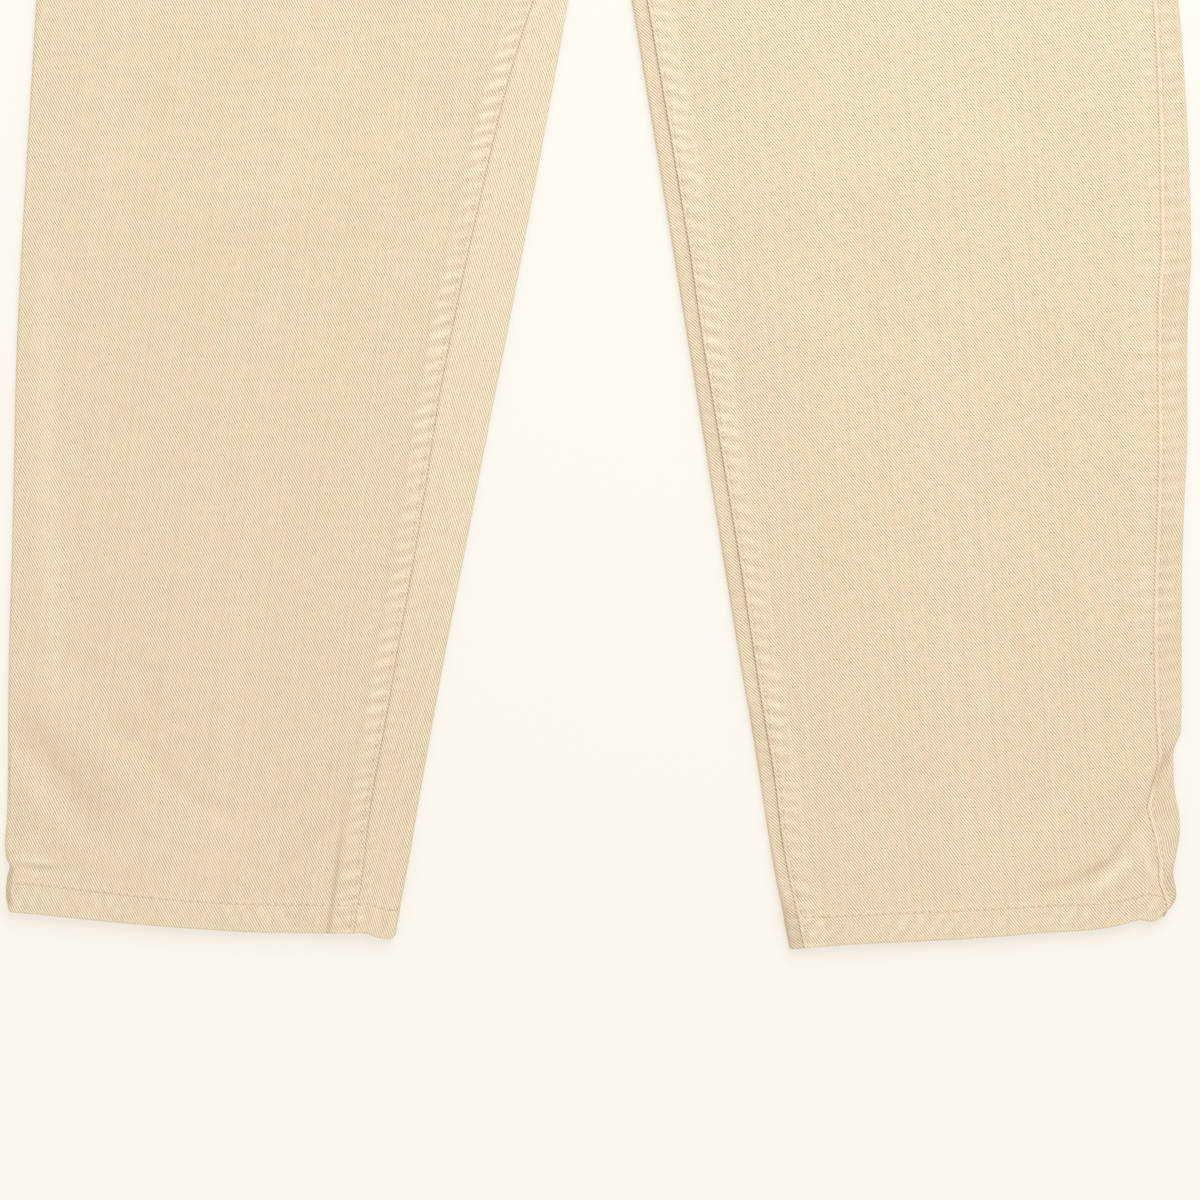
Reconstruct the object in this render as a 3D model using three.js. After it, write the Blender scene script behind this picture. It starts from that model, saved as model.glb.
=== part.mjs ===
// Straight-leg jeans in bull twill, laid flat on their back with the front upwards.
// Millimetres. x runs across the garment from its centre seams, y up the legs from the lowest point of
// the hems, and z up from the surface that it lies on. "right" and "left" are the wearer's own sides.

import * as THREE from 'three';
import { mergeVertices } from 'three/addons/utils/BufferGeometryUtils.js';

// Cloth
const layer = 1.2; // one layer of cloth
const gap = 0.3; // between pieces, edge to edge or one on another
const tuck = layer + gap; // how far a piece lies below the one on top of it

// Heights up the garment
const forkUp = 620; // where the legs meet
const waistSeamUp = 872; // at the side; the band is sewn on here
const bandDeep = 38;

// Thickness of the garment as it lies: over both layers, and round its folded edges
const hem = { deep: 16, wall: 2.6, height: 5.7, fadeUp: 75 };
const leg = { height: 3.4, edge: 4.2, edgeReach: 14 };
const seat = { height: 6.3, edge: 6.2, startUp: 560, fullUp: 700, lift: 1.6, liftFrom: 25, liftTo: 60 };
const fly = { height: 7.5, halfWide: 45, fade: 30, footUp: 707, lapStep: 15, leftLap: 6, rightLap: 2 };
const allowance = { deep: 12, rise: 1.0, blend: 2 }; // the inseam's turned edges, under the front

// Shapes of the upper part
const scoop = { deep: 70, wide: 95, underlap: 14, steps: [0, 0.04, 0.14, 0.31, 0.57, 1] };
const yoke = { sideUp: 842, dip: -35 };
const waist = { frontDip: -14, backRise: 8 };
const band = { wall: 2.4, floor: 1.7, height: 5.5, lapHeight: 7.9, underlap: 22, overlap: 16, blend: 20 };
const backPocket = { fromCentre: 42, wide: 138, footWide: 122, topUp: 802, tall: 140, point: 22, thick: 1.3 };
const loop = { wide: 12, below: 6, above: 1, thick: 1.4, arch: 2.4, fromCentre: 105 };
const button = { radius: 8.5, height: 3.2, shank: 4 };
const zip = { wide: 24, tape: 1, chain: 6, chainRise: 0.9, centre: 6, foot: 20, slider: [9, 14, 1.5] };

const colours = { cloth: 0xebd8b8, facing: 0xe6d3b3, zipTape: 0xe2d2b6, metal: 0x9a8f7d };

// Each leg as it lies. edges: a row for each section, with its folded edges measured from the centre
// seam. seams: outseam, round the cloth from the outer edge, plus on top and minus underneath; inseam,
// across the top from the inner edge. pinches: notches in the outer edge. folds: soft ridges from one
// place to another. hemDroop: how far the hem hangs below a straight line across the leg.
const legs = {
  right: {
    side: -1,
    hemUp: { outer: 20, inner: 7 },
    edges: [
      { up: 0, outer: 326, inner: 114.3 },
      { up: 56, outer: 327.2, inner: 104.4 },
      { up: 90, outer: 326.2, inner: 98.4 },
      { up: 165, outer: 324.8, inner: 84.9 },
      { up: 260, outer: 322.3, inner: 66.4 },
      { up: 340, outer: 320.9, inner: 50.9 },
      { up: 480, outer: 313, inner: 25 },
      { up: 560, outer: 307.5, inner: 11 },
      { up: 620, outer: 299, inner: gap / 2 },
      { up: 690, outer: 280, inner: gap / 2 },
      { up: 770, outer: 255, inner: gap / 2 },
      { up: 910, outer: 208, inner: gap / 2 },
    ],
    seams: [
      { up: 0, outseam: -10, inseam: 22.6 },
      { up: 75, outseam: -10.5, inseam: 25.8 },
      { up: 207, outseam: -12, inseam: 27 },
      { up: 295, outseam: -14, inseam: 30.1 },
      { up: 385, outseam: -16, inseam: 30 },
      { up: 480, outseam: -15, inseam: 26 },
      { up: 560, outseam: -14, inseam: 13 },
      { up: 620, outseam: -13, inseam: 4 },
      { up: 910, outseam: -9, inseam: 4 },
    ],
    pinches: [{ up: 46, deep: 1.8, reach: 12 }],
    folds: [
      { from: [303, 138], to: [250, 78], reach: 24, rise: 2 },
      { from: [322, 98], to: [283, 54], reach: 22, rise: 1.8 },
      { from: [130, 60], to: [155, 300], reach: 40, rise: 0.8 },
      { from: [105, 430], to: [245, 395], reach: 34, rise: 0.9 },
      { from: [16, 642], to: [150, 706], reach: 24, rise: 1.3 },
      { from: [26, 598], to: [170, 612], reach: 26, rise: 1.1 },
    ],
    hemDroop: [
      { across: 0, drop: 0 },
      { across: 0.25, drop: 1.8 },
      { across: 0.5, drop: 2.8 },
      { across: 0.8, drop: 1.4 },
      { across: 0.95, drop: 1.2 },
      { across: 1, drop: 0 },
    ],
  },
  left: {
    side: 1,
    hemUp: { outer: 20, inner: 0 },
    edges: [
      { up: 0, outer: 304, inner: 105 },
      { up: 20, outer: 311.2, inner: 100.2 },
      { up: 34, outer: 318, inner: 97.5 },
      { up: 75, outer: 319.5, inner: 90.8 },
      { up: 128, outer: 320.6, inner: 82.4 },
      { up: 207, outer: 320.6, inner: 69.1 },
      { up: 295, outer: 323.4, inner: 54.9 },
      { up: 385, outer: 325.5, inner: 40 },
      { up: 480, outer: 322, inner: 24.5 },
      { up: 560, outer: 314, inner: 11 },
      { up: 620, outer: 302, inner: gap / 2 },
      { up: 690, outer: 281, inner: gap / 2 },
      { up: 770, outer: 255, inner: gap / 2 },
      { up: 910, outer: 208, inner: gap / 2 },
    ],
    seams: [
      { up: 0, outseam: 1, inseam: 7.5 },
      { up: 20, outseam: 3.5, inseam: 7.8 },
      { up: 33, outseam: 8.5, inseam: 7.7 },
      { up: 57, outseam: 14, inseam: 7.1 },
      { up: 78, outseam: 18.2, inseam: 7.7 },
      { up: 104, outseam: 13.5, inseam: 8.1 },
      { up: 135, outseam: 16, inseam: 8 },
      { up: 207, outseam: 16.6, inseam: 8.9 },
      { up: 385, outseam: 18.4, inseam: 9.2 },
      { up: 560, outseam: 15, inseam: 8 },
      { up: 620, outseam: 14, inseam: 4 },
      { up: 910, outseam: 9, inseam: 4 },
    ],
    pinches: [
      { up: 42, deep: 2.5, reach: 12 },
      { up: 107, deep: 4.5, reach: 17 },
    ],
    folds: [
      { from: [286, 94], to: [240, 52], reach: 18, rise: 1.6 },
      { from: [298, 60], to: [258, 28], reach: 18, rise: 1.9 },
      { from: [150, 90], to: [128, 330], reach: 40, rise: 0.8 },
      { from: [95, 412], to: [220, 436], reach: 32, rise: 0.9 },
      { from: [14, 648], to: [128, 716], reach: 26, rise: 1.4 },
      { from: [30, 606], to: [185, 596], reach: 24, rise: 1 },
    ],
    hemDroop: [
      { across: 0, drop: 0 },
      { across: 0.06, drop: 3.8 },
      { across: 0.2, drop: 5.6 },
      { across: 0.5, drop: 4 },
      { across: 0.75, drop: 1.6 },
      { across: 1, drop: 0 },
    ],
  },
};

const { clamp, lerp, smoothstep } = THREE.MathUtils;

// A column of a table at any place, on a smooth curve through its rows.
function read(table, column, at, by = 'up') {
  const last = table.length - 1;
  const i = clamp(table.findIndex((row) => row[by] > at) - 1, 0, last - 1);
  const start = at >= table[last][by] ? last - 1 : i;
  const [a, b] = [table[start], table[start + 1]];
  const before = table[Math.max(start - 1, 0)];
  const after = table[Math.min(start + 2, last)];
  const slope = (from, to) => (to[column] - from[column]) / (to[by] - from[by]);
  const span = b[by] - a[by];
  const t = clamp((at - a[by]) / span, 0, 1);
  const leave = slope(before, b) * span;
  const arrive = slope(a, after) * span;
  const rise = b[column] - a[column];
  return a[column] + t * (leave + t * (3 * rise - 2 * leave - arrive + t * (leave + arrive - 2 * rise)));
}

// Height of a soft ridge at a place, highest at its middle and gone at its ends and sides.
function foldRise(fold, x, up) {
  const from = new THREE.Vector2(...fold.from);
  const run = new THREE.Vector2(...fold.to).sub(from);
  const step = new THREE.Vector2(x, up).sub(from);
  const alongRun = clamp(step.dot(run) / run.lengthSq(), 0, 1);
  const aside = step.sub(run.clone().multiplyScalar(alongRun)).length();
  return fold.rise * (1 - smoothstep(aside, 0, fold.reach)) * Math.sin(Math.PI * lerp(0.2, 0.8, alongRun));
}

function pinchAt(part, up) {
  const depth = (pinch) => pinch.deep * (1 - smoothstep(Math.abs(up - pinch.up), 0, pinch.reach));
  return part.pinches.reduce((sum, pinch) => sum + depth(pinch), 0);
}

// A level goes straight across one leg, or across half of the seat, from the outer folded edge to the
// inner one or to the centre seam. dip lowers or raises it towards the centre.
function legLevel(part, rise) {
  const share = rise / forkUp;
  const outerUp = lerp(part.hemUp.outer, forkUp, share);
  const innerUp = lerp(part.hemUp.inner, forkUp, share);
  const hemShare = 1 - smoothstep(rise, hem.deep, hem.fadeUp);
  const radius = lerp(leg.edge, hem.height, hemShare) / 2;
  return finishLevel(part, {
    rise,
    hemShare,
    inHem: rise <= hem.deep,
    pinch: pinchAt(part, outerUp),
    outer: new THREE.Vector2(read(part.edges, 'outer', outerUp) - pinchAt(part, outerUp), outerUp),
    inner: new THREE.Vector2(read(part.edges, 'inner', innerUp), innerUp),
    outerRadius: radius,
    innerRadius: radius,
    dip: (across) => -read(part.hemDroop, 'drop', across, 'across') * hemShare,
  });
}

function seatLevel(part, up, dip = () => 0) {
  return finishLevel(part, {
    rise: up,
    hemShare: 0,
    inHem: false,
    pinch: 0,
    outer: new THREE.Vector2(read(part.edges, 'outer', up), up),
    inner: new THREE.Vector2(gap / 2, up),
    outerRadius: lerp(leg.edge, seat.edge, smoothstep(up, forkUp, seat.fullUp)) / 2,
    innerRadius: 0,
    dip,
  });
}

function finishLevel(part, level) {
  const quarter = Math.PI / 2;
  const width = level.outer.distanceTo(level.inner);
  const { outerRadius, innerRadius, pinch } = level;
  const up = level.outer.y;
  const outerQuarter = quarter * outerRadius;
  const innerQuarter = quarter * innerRadius;
  const over = width - outerRadius - innerRadius + outerQuarter + innerQuarter;
  return {
    ...level,
    part,
    width,
    over, // round the cloth from the outer edge to the inner one
    outerQuarter,
    innerQuarter,
    outseam: read(part.seams, 'outseam', up) - Math.sign(part.side) * pinch,
    inseam: over - innerQuarter - (read(part.seams, 'inseam', level.inner.y) - innerRadius),
  };
}

// Height of the top cloth above the surface.
function topHeight(level, x, up, fromOuter) {
  const { part, hemShare, outerRadius, innerRadius, width } = level;
  const seatShare = smoothstep(up, seat.startUp, seat.fullUp);
  const flyShare = smoothstep(up, fly.footUp - 60, fly.footUp - 30);
  let height = lerp(lerp(leg.height, hem.height, hemShare), seat.height, seatShare);
  const flyHeight = fly.height - height;
  height += flyHeight * flyShare * (1 - smoothstep(Math.abs(x), fly.halfWide, fly.halfWide + fly.fade));
  height += (2 * outerRadius - height) * (1 - smoothstep(fromOuter - outerRadius, 0, leg.edgeReach));
  if (innerRadius) {
    const fromInner = width - fromOuter - innerRadius;
    height += (2 * innerRadius - height) * (1 - smoothstep(fromInner, 0, leg.edgeReach));
  }
  return height + part.folds.reduce((sum, fold) => sum + foldRise(fold, x, up), 0) * (1 - hemShare);
}

// Height of the underside: flat on the surface, or on the back pockets under the seat.
function underHeight(level, up, fromOuter) {
  const acrossShare = smoothstep(fromOuter, seat.liftFrom, seat.liftTo);
  return seat.lift * acrossShare * smoothstep(up, forkUp, forkUp + 30);
}

// How much the allowances turned under the front raise and thicken it beside the inseam.
function allowanceRise(level, around) {
  const fromSeam = level.inseam - around;
  const share = 1 - smoothstep(fromSeam, allowance.deep - allowance.blend, allowance.deep + allowance.blend);
  return allowance.rise * share * (1 - smoothstep(level.rise, forkUp - 60, forkUp)) * (1 - 0.6 * level.hemShare);
}

function plan(level, fromOuter) {
  const across = fromOuter / level.width;
  const spot = level.outer.clone().lerp(level.inner, across);
  spot.y += level.dip(1 - Math.abs(1 - across));
  return spot;
}

// A place on the cloth: around is measured over the top from the outer edge, and minus underneath; depth
// goes in from the outside of the cloth. Where the level has an inner fold, the underside runs on round
// it and back over the top.
function place(level, around, depth, raise = 0) {
  const { part, outerRadius, innerRadius, outerQuarter, innerQuarter, over } = level;
  let fromOuter;
  let z;
  if (Math.abs(around) <= outerQuarter) {
    const angle = around / outerRadius;
    fromOuter = outerRadius - (outerRadius - depth) * Math.cos(angle);
    z = outerRadius + (outerRadius - depth) * Math.sin(angle);
  } else if (around > 0) {
    fromOuter = around - outerQuarter + outerRadius;
    const spot = plan(level, fromOuter);
    z = topHeight(level, spot.x, spot.y, fromOuter) + raise - depth;
  } else if (!innerRadius || -around < over - innerQuarter) {
    fromOuter = -around - outerQuarter + outerRadius;
    z = underHeight(level, plan(level, fromOuter).y, fromOuter) + depth;
  } else if (-around <= over + innerQuarter) {
    const angle = (-around - over) / innerRadius;
    fromOuter = level.width - innerRadius + (innerRadius - depth) * Math.cos(angle);
    z = innerRadius + (innerRadius - depth) * Math.sin(angle);
  } else {
    fromOuter = level.width - innerRadius - (-around - over - innerQuarter);
    const spot = plan(level, fromOuter);
    z = topHeight(level, spot.x, spot.y, fromOuter) - depth;
  }
  const spot = plan(level, fromOuter);
  return new THREE.Vector3(part.side * spot.x, spot.y, z);
}

// Values from one anchor to the next, in the number of steps given between each pair.
function spread(anchors, steps) {
  const values = [anchors[0]];
  steps.forEach((count, i) => {
    for (let k = 1; k <= count; k += 1) values.push(lerp(anchors[i], anchors[i + 1], k / count));
  });
  return values;
}

// A closed wall through a grid of places, each a pair on the outside and the inside of the cloth. Cells
// that are not present are left out, and every open side is closed with an edge.
function wall(grid, present = () => true) {
  const rows = grid.length;
  const columns = grid[0].length;
  const positions = grid.flatMap((row) => row.flatMap((pair) => pair.flatMap((point) => point.toArray())));
  const index = [];
  const corner = (j, k, face) => (j * columns + k) * 2 + face;
  const quad = (a, b, c, d) => index.push(a, b, c, a, c, d);
  const has = (j, k) => j >= 0 && k >= 0 && j < rows - 1 && k < columns - 1 && present(j, k);
  for (let j = 0; j < rows - 1; j += 1) {
    for (let k = 0; k < columns - 1; k += 1) {
      if (!has(j, k)) continue;
      const spots = [[j, k], [j, k + 1], [j + 1, k + 1], [j + 1, k]];
      quad(...spots.map((spot) => corner(...spot, 0)));
      quad(...spots.map((spot) => corner(...spot, 1)).reverse());
      [[j - 1, k], [j, k + 1], [j + 1, k], [j, k - 1]].forEach((beside, side) => {
        if (has(...beside)) return;
        const [from, to] = [spots[side], spots[(side + 1) % 4]];
        quad(corner(...from, 1), corner(...to, 1), corner(...to, 0), corner(...from, 0));
      });
    }
  }
  const geometry = new THREE.BufferGeometry();
  geometry.setAttribute('position', new THREE.Float32BufferAttribute(positions, 3));
  geometry.setIndex(volumeOf(positions, index) < 0 ? index.reverse() : index);
  return mergeVertices(geometry.toNonIndexed(), 1e-4); // keeps only the places that a face uses
}

function volumeOf(positions, index) {
  const at = (i) => new THREE.Vector3().fromArray(positions, i * 3);
  let sum = 0;
  for (let i = 0; i < index.length; i += 3) sum += at(index[i]).dot(at(index[i + 1]).cross(at(index[i + 2])));
  return sum / 6;
}

function clothMaterial(colour = colours.cloth) {
  return new THREE.MeshStandardMaterial({ color: colour, roughness: 0.9, metalness: 0, side: THREE.DoubleSide });
}

function piece(name, geometry, material = clothMaterial()) {
  geometry.computeVertexNormals();
  const mesh = new THREE.Mesh(geometry, material);
  mesh.name = name;
  return mesh;
}

// Heights at which a leg is cut into levels: the hem's own, then steps that widen up the leg.
function legRises() {
  const rises = [0, 1.5, hem.deep - 0.5, hem.deep + 0.8];
  for (let step = 11; rises.at(-1) + step * 1.4 < forkUp; step = Math.min(step * 1.12, 42)) {
    rises.push(rises.at(-1) + step);
  }
  return [...rises, forkUp];
}

const scoopUps = scoop.steps.map((share) => waistSeamUp - scoop.deep + share * scoop.deep);
const seatUps = [forkUp + 6, 650, fly.footUp - 30, fly.footUp, fly.footUp + fly.lapStep, 750, 778];
const frontDip = (up) => (across) => waist.frontDip * smoothstep(up, 740, waistSeamUp) * across ** 2;
const backDip = (up) => (across) => {
  const toYoke = yoke.dip * smoothstep(up, 640, yoke.sideUp);
  const toWaist = (waist.backRise - yoke.dip) * smoothstep(up, yoke.sideUp, waistSeamUp);
  return (toYoke + toWaist) * smoothstep(across, 0, 1.3) * 1.2;
};

// How far the scoop of the front pocket has come in from the outseam.
function scoopIn(up) {
  const below = (waistSeamUp - up) / scoop.deep;
  return below >= 1 ? 0 : scoop.wide * Math.sqrt(1 - below ** 2);
}

const hemWall = (level) => (level.inHem ? hem.wall : layer);

// Front panel: from the outseam, over the outer fold where the outseam lies underneath, to the inseam
// and then the centre front. The left front laps over the right one along the fly.
function frontPanel(part) {
  const onTop = part.side > 0;
  const levels = [
    ...legRises().map((rise) => legLevel(part, rise)),
    ...[...seatUps, ...scoopUps].map((up) => seatLevel(part, up, frontDip(up))),
  ];
  const scoopRow = levels.length - scoopUps.length;
  const foldColumns = onTop ? 0 : 5; // the scoop starts past the outer fold
  const present = (row, column) => row < scoopRow || column >= foldColumns;
  return wall(levels.map((level) => {
    const up = level.outer.y;
    const inLeg = level.innerRadius > 0;
    const lapShare = smoothstep(up, fly.footUp, fly.footUp + fly.lapStep);
    const lap = inLeg ? 0 : lapShare * (onTop ? fly.leftLap : fly.rightLap);
    const end = (inLeg ? level.inseam - gap / 2 : level.over) + lap;
    const start = level.outseam + gap / 2;
    const anchors = onTop
      ? [start, end - allowance.deep - allowance.blend, end - allowance.deep + allowance.blend, end]
      : [start, -level.outerQuarter, level.outerQuarter,
        end - allowance.deep - allowance.blend, end - allowance.deep + allowance.blend, end];
    const columns = spread(anchors, onTop ? [9, 1, 2] : [1, 4, 8, 1, 2]);
    const mouth = columns[foldColumns];
    return columns.map((column) => {
      const share = Math.max(column - mouth, 0) / (end - mouth);
      const around = column < mouth ? column : lerp(mouth + scoopIn(up), end, share);
      const rise = inLeg ? allowanceRise(level, around) : 0;
      const tuckShare = onTop ? 0 : smoothstep(up, fly.footUp - 30, fly.footUp)
        * smoothstep(around, level.over - 20, level.over - 9);
      const depth = hemWall(level) + rise;
      const lip = level.rise === 0 ? 0.6 : 0;
      return [lip, depth - lip].map((deep) => place(level, around, deep + tuckShare * tuck, rise));
    });
  }), present);
}

// Back panel: from the outseam, over the outer fold where the outseam lies on top, under the garment and
// round the inner fold to the inseam. Above the fork it ends at the centre back, and at the yoke.
function backPanel(part) {
  const onTop = part.side > 0;
  const levels = [
    ...legRises().map((rise) => legLevel(part, rise)),
    ...[...seatUps, scoopUps[0], yoke.sideUp].map((up) => seatLevel(part, up, backDip(up))),
  ];
  const legCount = legRises().length;
  const steps = onTop ? [2, 4, 9, 4, 1] : [9, 4, 3];
  const underSteps = onTop ? 15 : 9;
  const grid = levels.map((level, row) => {
    const start = level.outseam - gap / 2;
    const { outerQuarter, innerQuarter, over } = level;
    const head = onTop ? [start, Math.min(outerQuarter, 0.6 * start), -outerQuarter] : [start];
    const endUp = level.outer.y > forkUp ? -over : -(over - innerQuarter);
    const tail = [endUp, -(over + innerQuarter), -(2 * over - level.inseam - gap / 2)];
    const yokeGap = row === levels.length - 1 ? -gap / 2 : 0;
    return spread([...head, ...tail], steps).map((around) => {
      const lip = level.rise === 0 ? 0.6 : 0;
      const onTopSide = around > outerQuarter || -around > over;
      const pair = [onTopSide ? lip : 0, hemWall(level)].map((deep) => place(level, around, deep));
      pair.forEach((point) => { point.y += yokeGap; });
      return pair;
    });
  });
  return wall(grid, (row, column) => row < legCount - 1 || column < underSteps);
}

function yokePanel(part) {
  const onTop = part.side > 0;
  const ups = [yoke.sideUp, (yoke.sideUp + waistSeamUp) / 2, waistSeamUp];
  return wall(ups.map((up, row) => {
    const level = seatLevel(part, up, backDip(up));
    const start = level.outseam - gap / 2;
    const head = onTop ? [start, level.outerQuarter, -level.outerQuarter] : [start];
    return spread([...head, -level.over], onTop ? [2, 4, 9] : [9]).map((around) => {
      const pair = [0, layer].map((deep) => place(level, around, deep));
      pair.forEach((point) => { point.y += row === 0 ? gap / 2 : 0; });
      return pair;
    });
  }));
}

// Pocket facing: fills the scoop, one layer down, and runs on a little under the front.
function pocketFacing(part) {
  return wall(scoopUps.map((up) => {
    const level = seatLevel(part, up, frontDip(up));
    const start = level.outseam + gap;
    const end = level.outseam + scoopIn(up) + scoop.underlap;
    const { outerQuarter } = level;
    const columns = part.side > 0 ? spread([start, end], [6]) : spread([start, -outerQuarter, outerQuarter, end], [1, 4, 6]);
    return columns.map((around) => [tuck, tuck + layer].map((deep) => place(level, around, deep)));
  }));
}

// Waistband: one strip from under the left end at the front, round the right side, under the back, round
// the left side and over the right end.
function bandLevel(part, up, dip) {
  const level = seatLevel(part, up, dip);
  return finishLevel(part, { ...level, outerRadius: band.height / 2 });
}

function bandHeight(part, fromCentre) {
  if (part.side < 0) return band.height;
  return lerp(band.lapHeight, band.height, smoothstep(fromCentre, band.underlap + 6, band.underlap + 6 + band.blend));
}

function bandPoint(part, up, around, depth) {
  const front = around > 0;
  const dip = (across) => (front ? waist.frontDip * across ** 2 : waist.backRise * smoothstep(across, 0, 1.3) * 1.2);
  const level = bandLevel(part, up, dip);
  const point = place(level, around, depth);
  const fromOuter = Math.abs(around) - level.outerQuarter + level.outerRadius;
  if (around > level.outerQuarter) {
    point.z = bandHeight(part, level.width - fromOuter) - depth;
  } else if (-around > level.outerQuarter) {
    point.z = depth;
  }
  point.z += band.floor;
  return point;
}

function waistband() {
  const rows = [waistSeamUp + gap, waistSeamUp + bandDeep / 2, waistSeamUp + bandDeep];
  return wall(rows.map((up) => {
    const sideColumns = (part, past) => {
      const level = bandLevel(part, up, () => 0);
      const { over, outerQuarter } = level;
      return spread([over + past, over - 30, over - 60, outerQuarter, -outerQuarter, -over], [2, 2, 4, 4, 8]);
    };
    const right = sideColumns(legs.right, band.underlap).map((around) => [legs.right, around]);
    const left = sideColumns(legs.left, band.overlap).map((around) => [legs.left, around]).reverse();
    return [...right, ...left.slice(1)].map(([part, around]) => [0, band.wall].map((depth) => bandPoint(part, up, around, depth)));
  }));
}

// Back patch pocket, flat on the surface under the seat.
function patchPocket(side) {
  const { fromCentre, wide, footWide, topUp, tall, point, thick } = backPocket;
  const middle = fromCentre + wide / 2;
  const outline = [
    [middle - wide / 2, topUp - 3], [middle + wide / 2, topUp],
    [middle + footWide / 2, topUp - tall + point], [middle, topUp - tall],
    [middle - footWide / 2, topUp - tall + point],
  ].map(([x, up]) => new THREE.Vector2(side * x, up));
  return new THREE.ExtrudeGeometry(new THREE.Shape(outline), { depth: thick, bevelEnabled: false });
}

// Belt loop, drawn from the side and given its width: flat, or arched a little where it is on top.
function beltLoop(x, bottomUp, topUp, floorZ, arch) {
  const run = topUp - bottomUp;
  const count = arch ? 8 : 1;
  const line = (raise) => Array.from({ length: count + 1 }, (_, i) => {
    const t = i / count;
    return [t * run, raise + arch * Math.sin(Math.PI * t) ** 0.7];
  });
  const outline = [...line(0), ...line(loop.thick).reverse()].map(([y, z]) => new THREE.Vector2(y, z));
  const geometry = new THREE.ExtrudeGeometry(new THREE.Shape(outline), { depth: loop.wide, bevelEnabled: false });
  geometry.applyMatrix4(new THREE.Matrix4().makeBasis(
    new THREE.Vector3(0, 1, 0), new THREE.Vector3(0, 0, 1), new THREE.Vector3(1, 0, 0),
  ));
  return geometry.translate(x - loop.wide / 2, bottomUp, floorZ);
}

// Height of the waist seam at a distance from the centre.
function waistSeamAt(fromCentre, front) {
  const half = read(legs.right.edges, 'outer', waistSeamUp);
  const across = 1 - fromCentre / half;
  return waistSeamUp + (front ? waist.frontDip * across ** 2 : waist.backRise * smoothstep(across, 0, 1.3) * 1.2);
}

function beltLoops() {
  const topZ = band.floor + band.height + gap;
  const spots = [
    { name: 'front_right', x: -loop.fromCentre, front: true },
    { name: 'front_left', x: loop.fromCentre, front: true },
    { name: 'back_right', x: -loop.fromCentre, front: false },
    { name: 'back_centre', x: 0, front: false },
    { name: 'back_left', x: loop.fromCentre, front: false },
  ];
  return spots.map(({ name, x, front }) => {
    const seam = waistSeamAt(Math.abs(x), front);
    const [bottom, top] = [seam - loop.below, seam + bandDeep + loop.above];
    return piece(`belt_loop_${name}`, beltLoop(x, bottom, top, front ? topZ : 0, front ? loop.arch : 0));
  });
}

// Tack button, turned about its own axis.
function tackButton() {
  const { radius, height, shank } = button;
  const profile = [
    [0, 0], [shank, 0], [shank, 0.8], [radius - 0.6, 1], [radius, 1.8], [radius - 0.5, height - 0.2],
    [radius - 1.6, height], [radius - 2.6, height - 0.7], [0, height - 0.5],
  ].map(([r, y]) => new THREE.Vector2(r, y));
  const geometry = new THREE.LatheGeometry(profile, 20).rotateX(Math.PI / 2);
  const up = waistSeamUp + waist.frontDip + bandDeep / 2;
  return geometry.translate(0, up, band.floor + band.lapHeight + gap);
}

// Closed zip under the fly: the two tapes with the chain along their middle, drawn in section.
function flyZip() {
  const { wide, tape, chain, chainRise } = zip;
  const half = wide / 2;
  const outline = [
    [-half, 0], [half, 0], [half, tape], [chain / 2, tape], [chain / 2, tape + chainRise],
    [-chain / 2, tape + chainRise], [-chain / 2, tape], [-half, tape],
  ].map(([x, z]) => new THREE.Vector2(x, z));
  const foot = fly.footUp + zip.foot;
  const head = waistSeamUp + waist.frontDip - 3 - zip.slider[1];
  const geometry = new THREE.ExtrudeGeometry(new THREE.Shape(outline), { depth: head - foot, bevelEnabled: false });
  geometry.rotateX(Math.PI / 2);
  return geometry.translate(zip.centre, head, seat.lift + tuck);
}

function zipSlider() {
  const [wide, long, thick] = zip.slider;
  const shape = new THREE.Shape([[-0.5, 0], [0.5, 0], [0.5, 0.45], [0.2, 1], [-0.2, 1], [-0.5, 0.45]]
    .map(([x, y]) => new THREE.Vector2(x * wide, y * long)));
  const geometry = new THREE.ExtrudeGeometry(shape, { depth: thick, bevelEnabled: false });
  const foot = waistSeamUp + waist.frontDip - 3 - long + gap;
  return geometry.translate(zip.centre, foot, seat.lift + tuck);
}

const jeans = new THREE.Group();
for (const [name, part] of Object.entries(legs)) {
  jeans.add(
    piece(`front_${name}`, frontPanel(part)),
    piece(`back_${name}`, backPanel(part)),
    piece(`yoke_${name}`, yokePanel(part)),
    piece(`pocket_facing_${name}`, pocketFacing(part), clothMaterial(colours.facing)),
    piece(`back_pocket_${name}`, patchPocket(part.side)),
  );
}
const metal = new THREE.MeshStandardMaterial({ color: colours.metal, roughness: 0.4, metalness: 1 });
jeans.add(
  piece('waistband', waistband()),
  ...beltLoops(),
  piece('waist_button', tackButton(), metal),
  piece('fly_zip', flyZip(), clothMaterial(colours.zipTape)),
  piece('zip_slider', zipSlider(), metal),
);

// The origin is under the middle of the whole garment.
const box = new THREE.Box3().setFromObject(jeans);
const middle = box.getCenter(new THREE.Vector3());
jeans.position.set(-middle.x, -middle.y, -box.min.z);

export default jeans;
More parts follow.
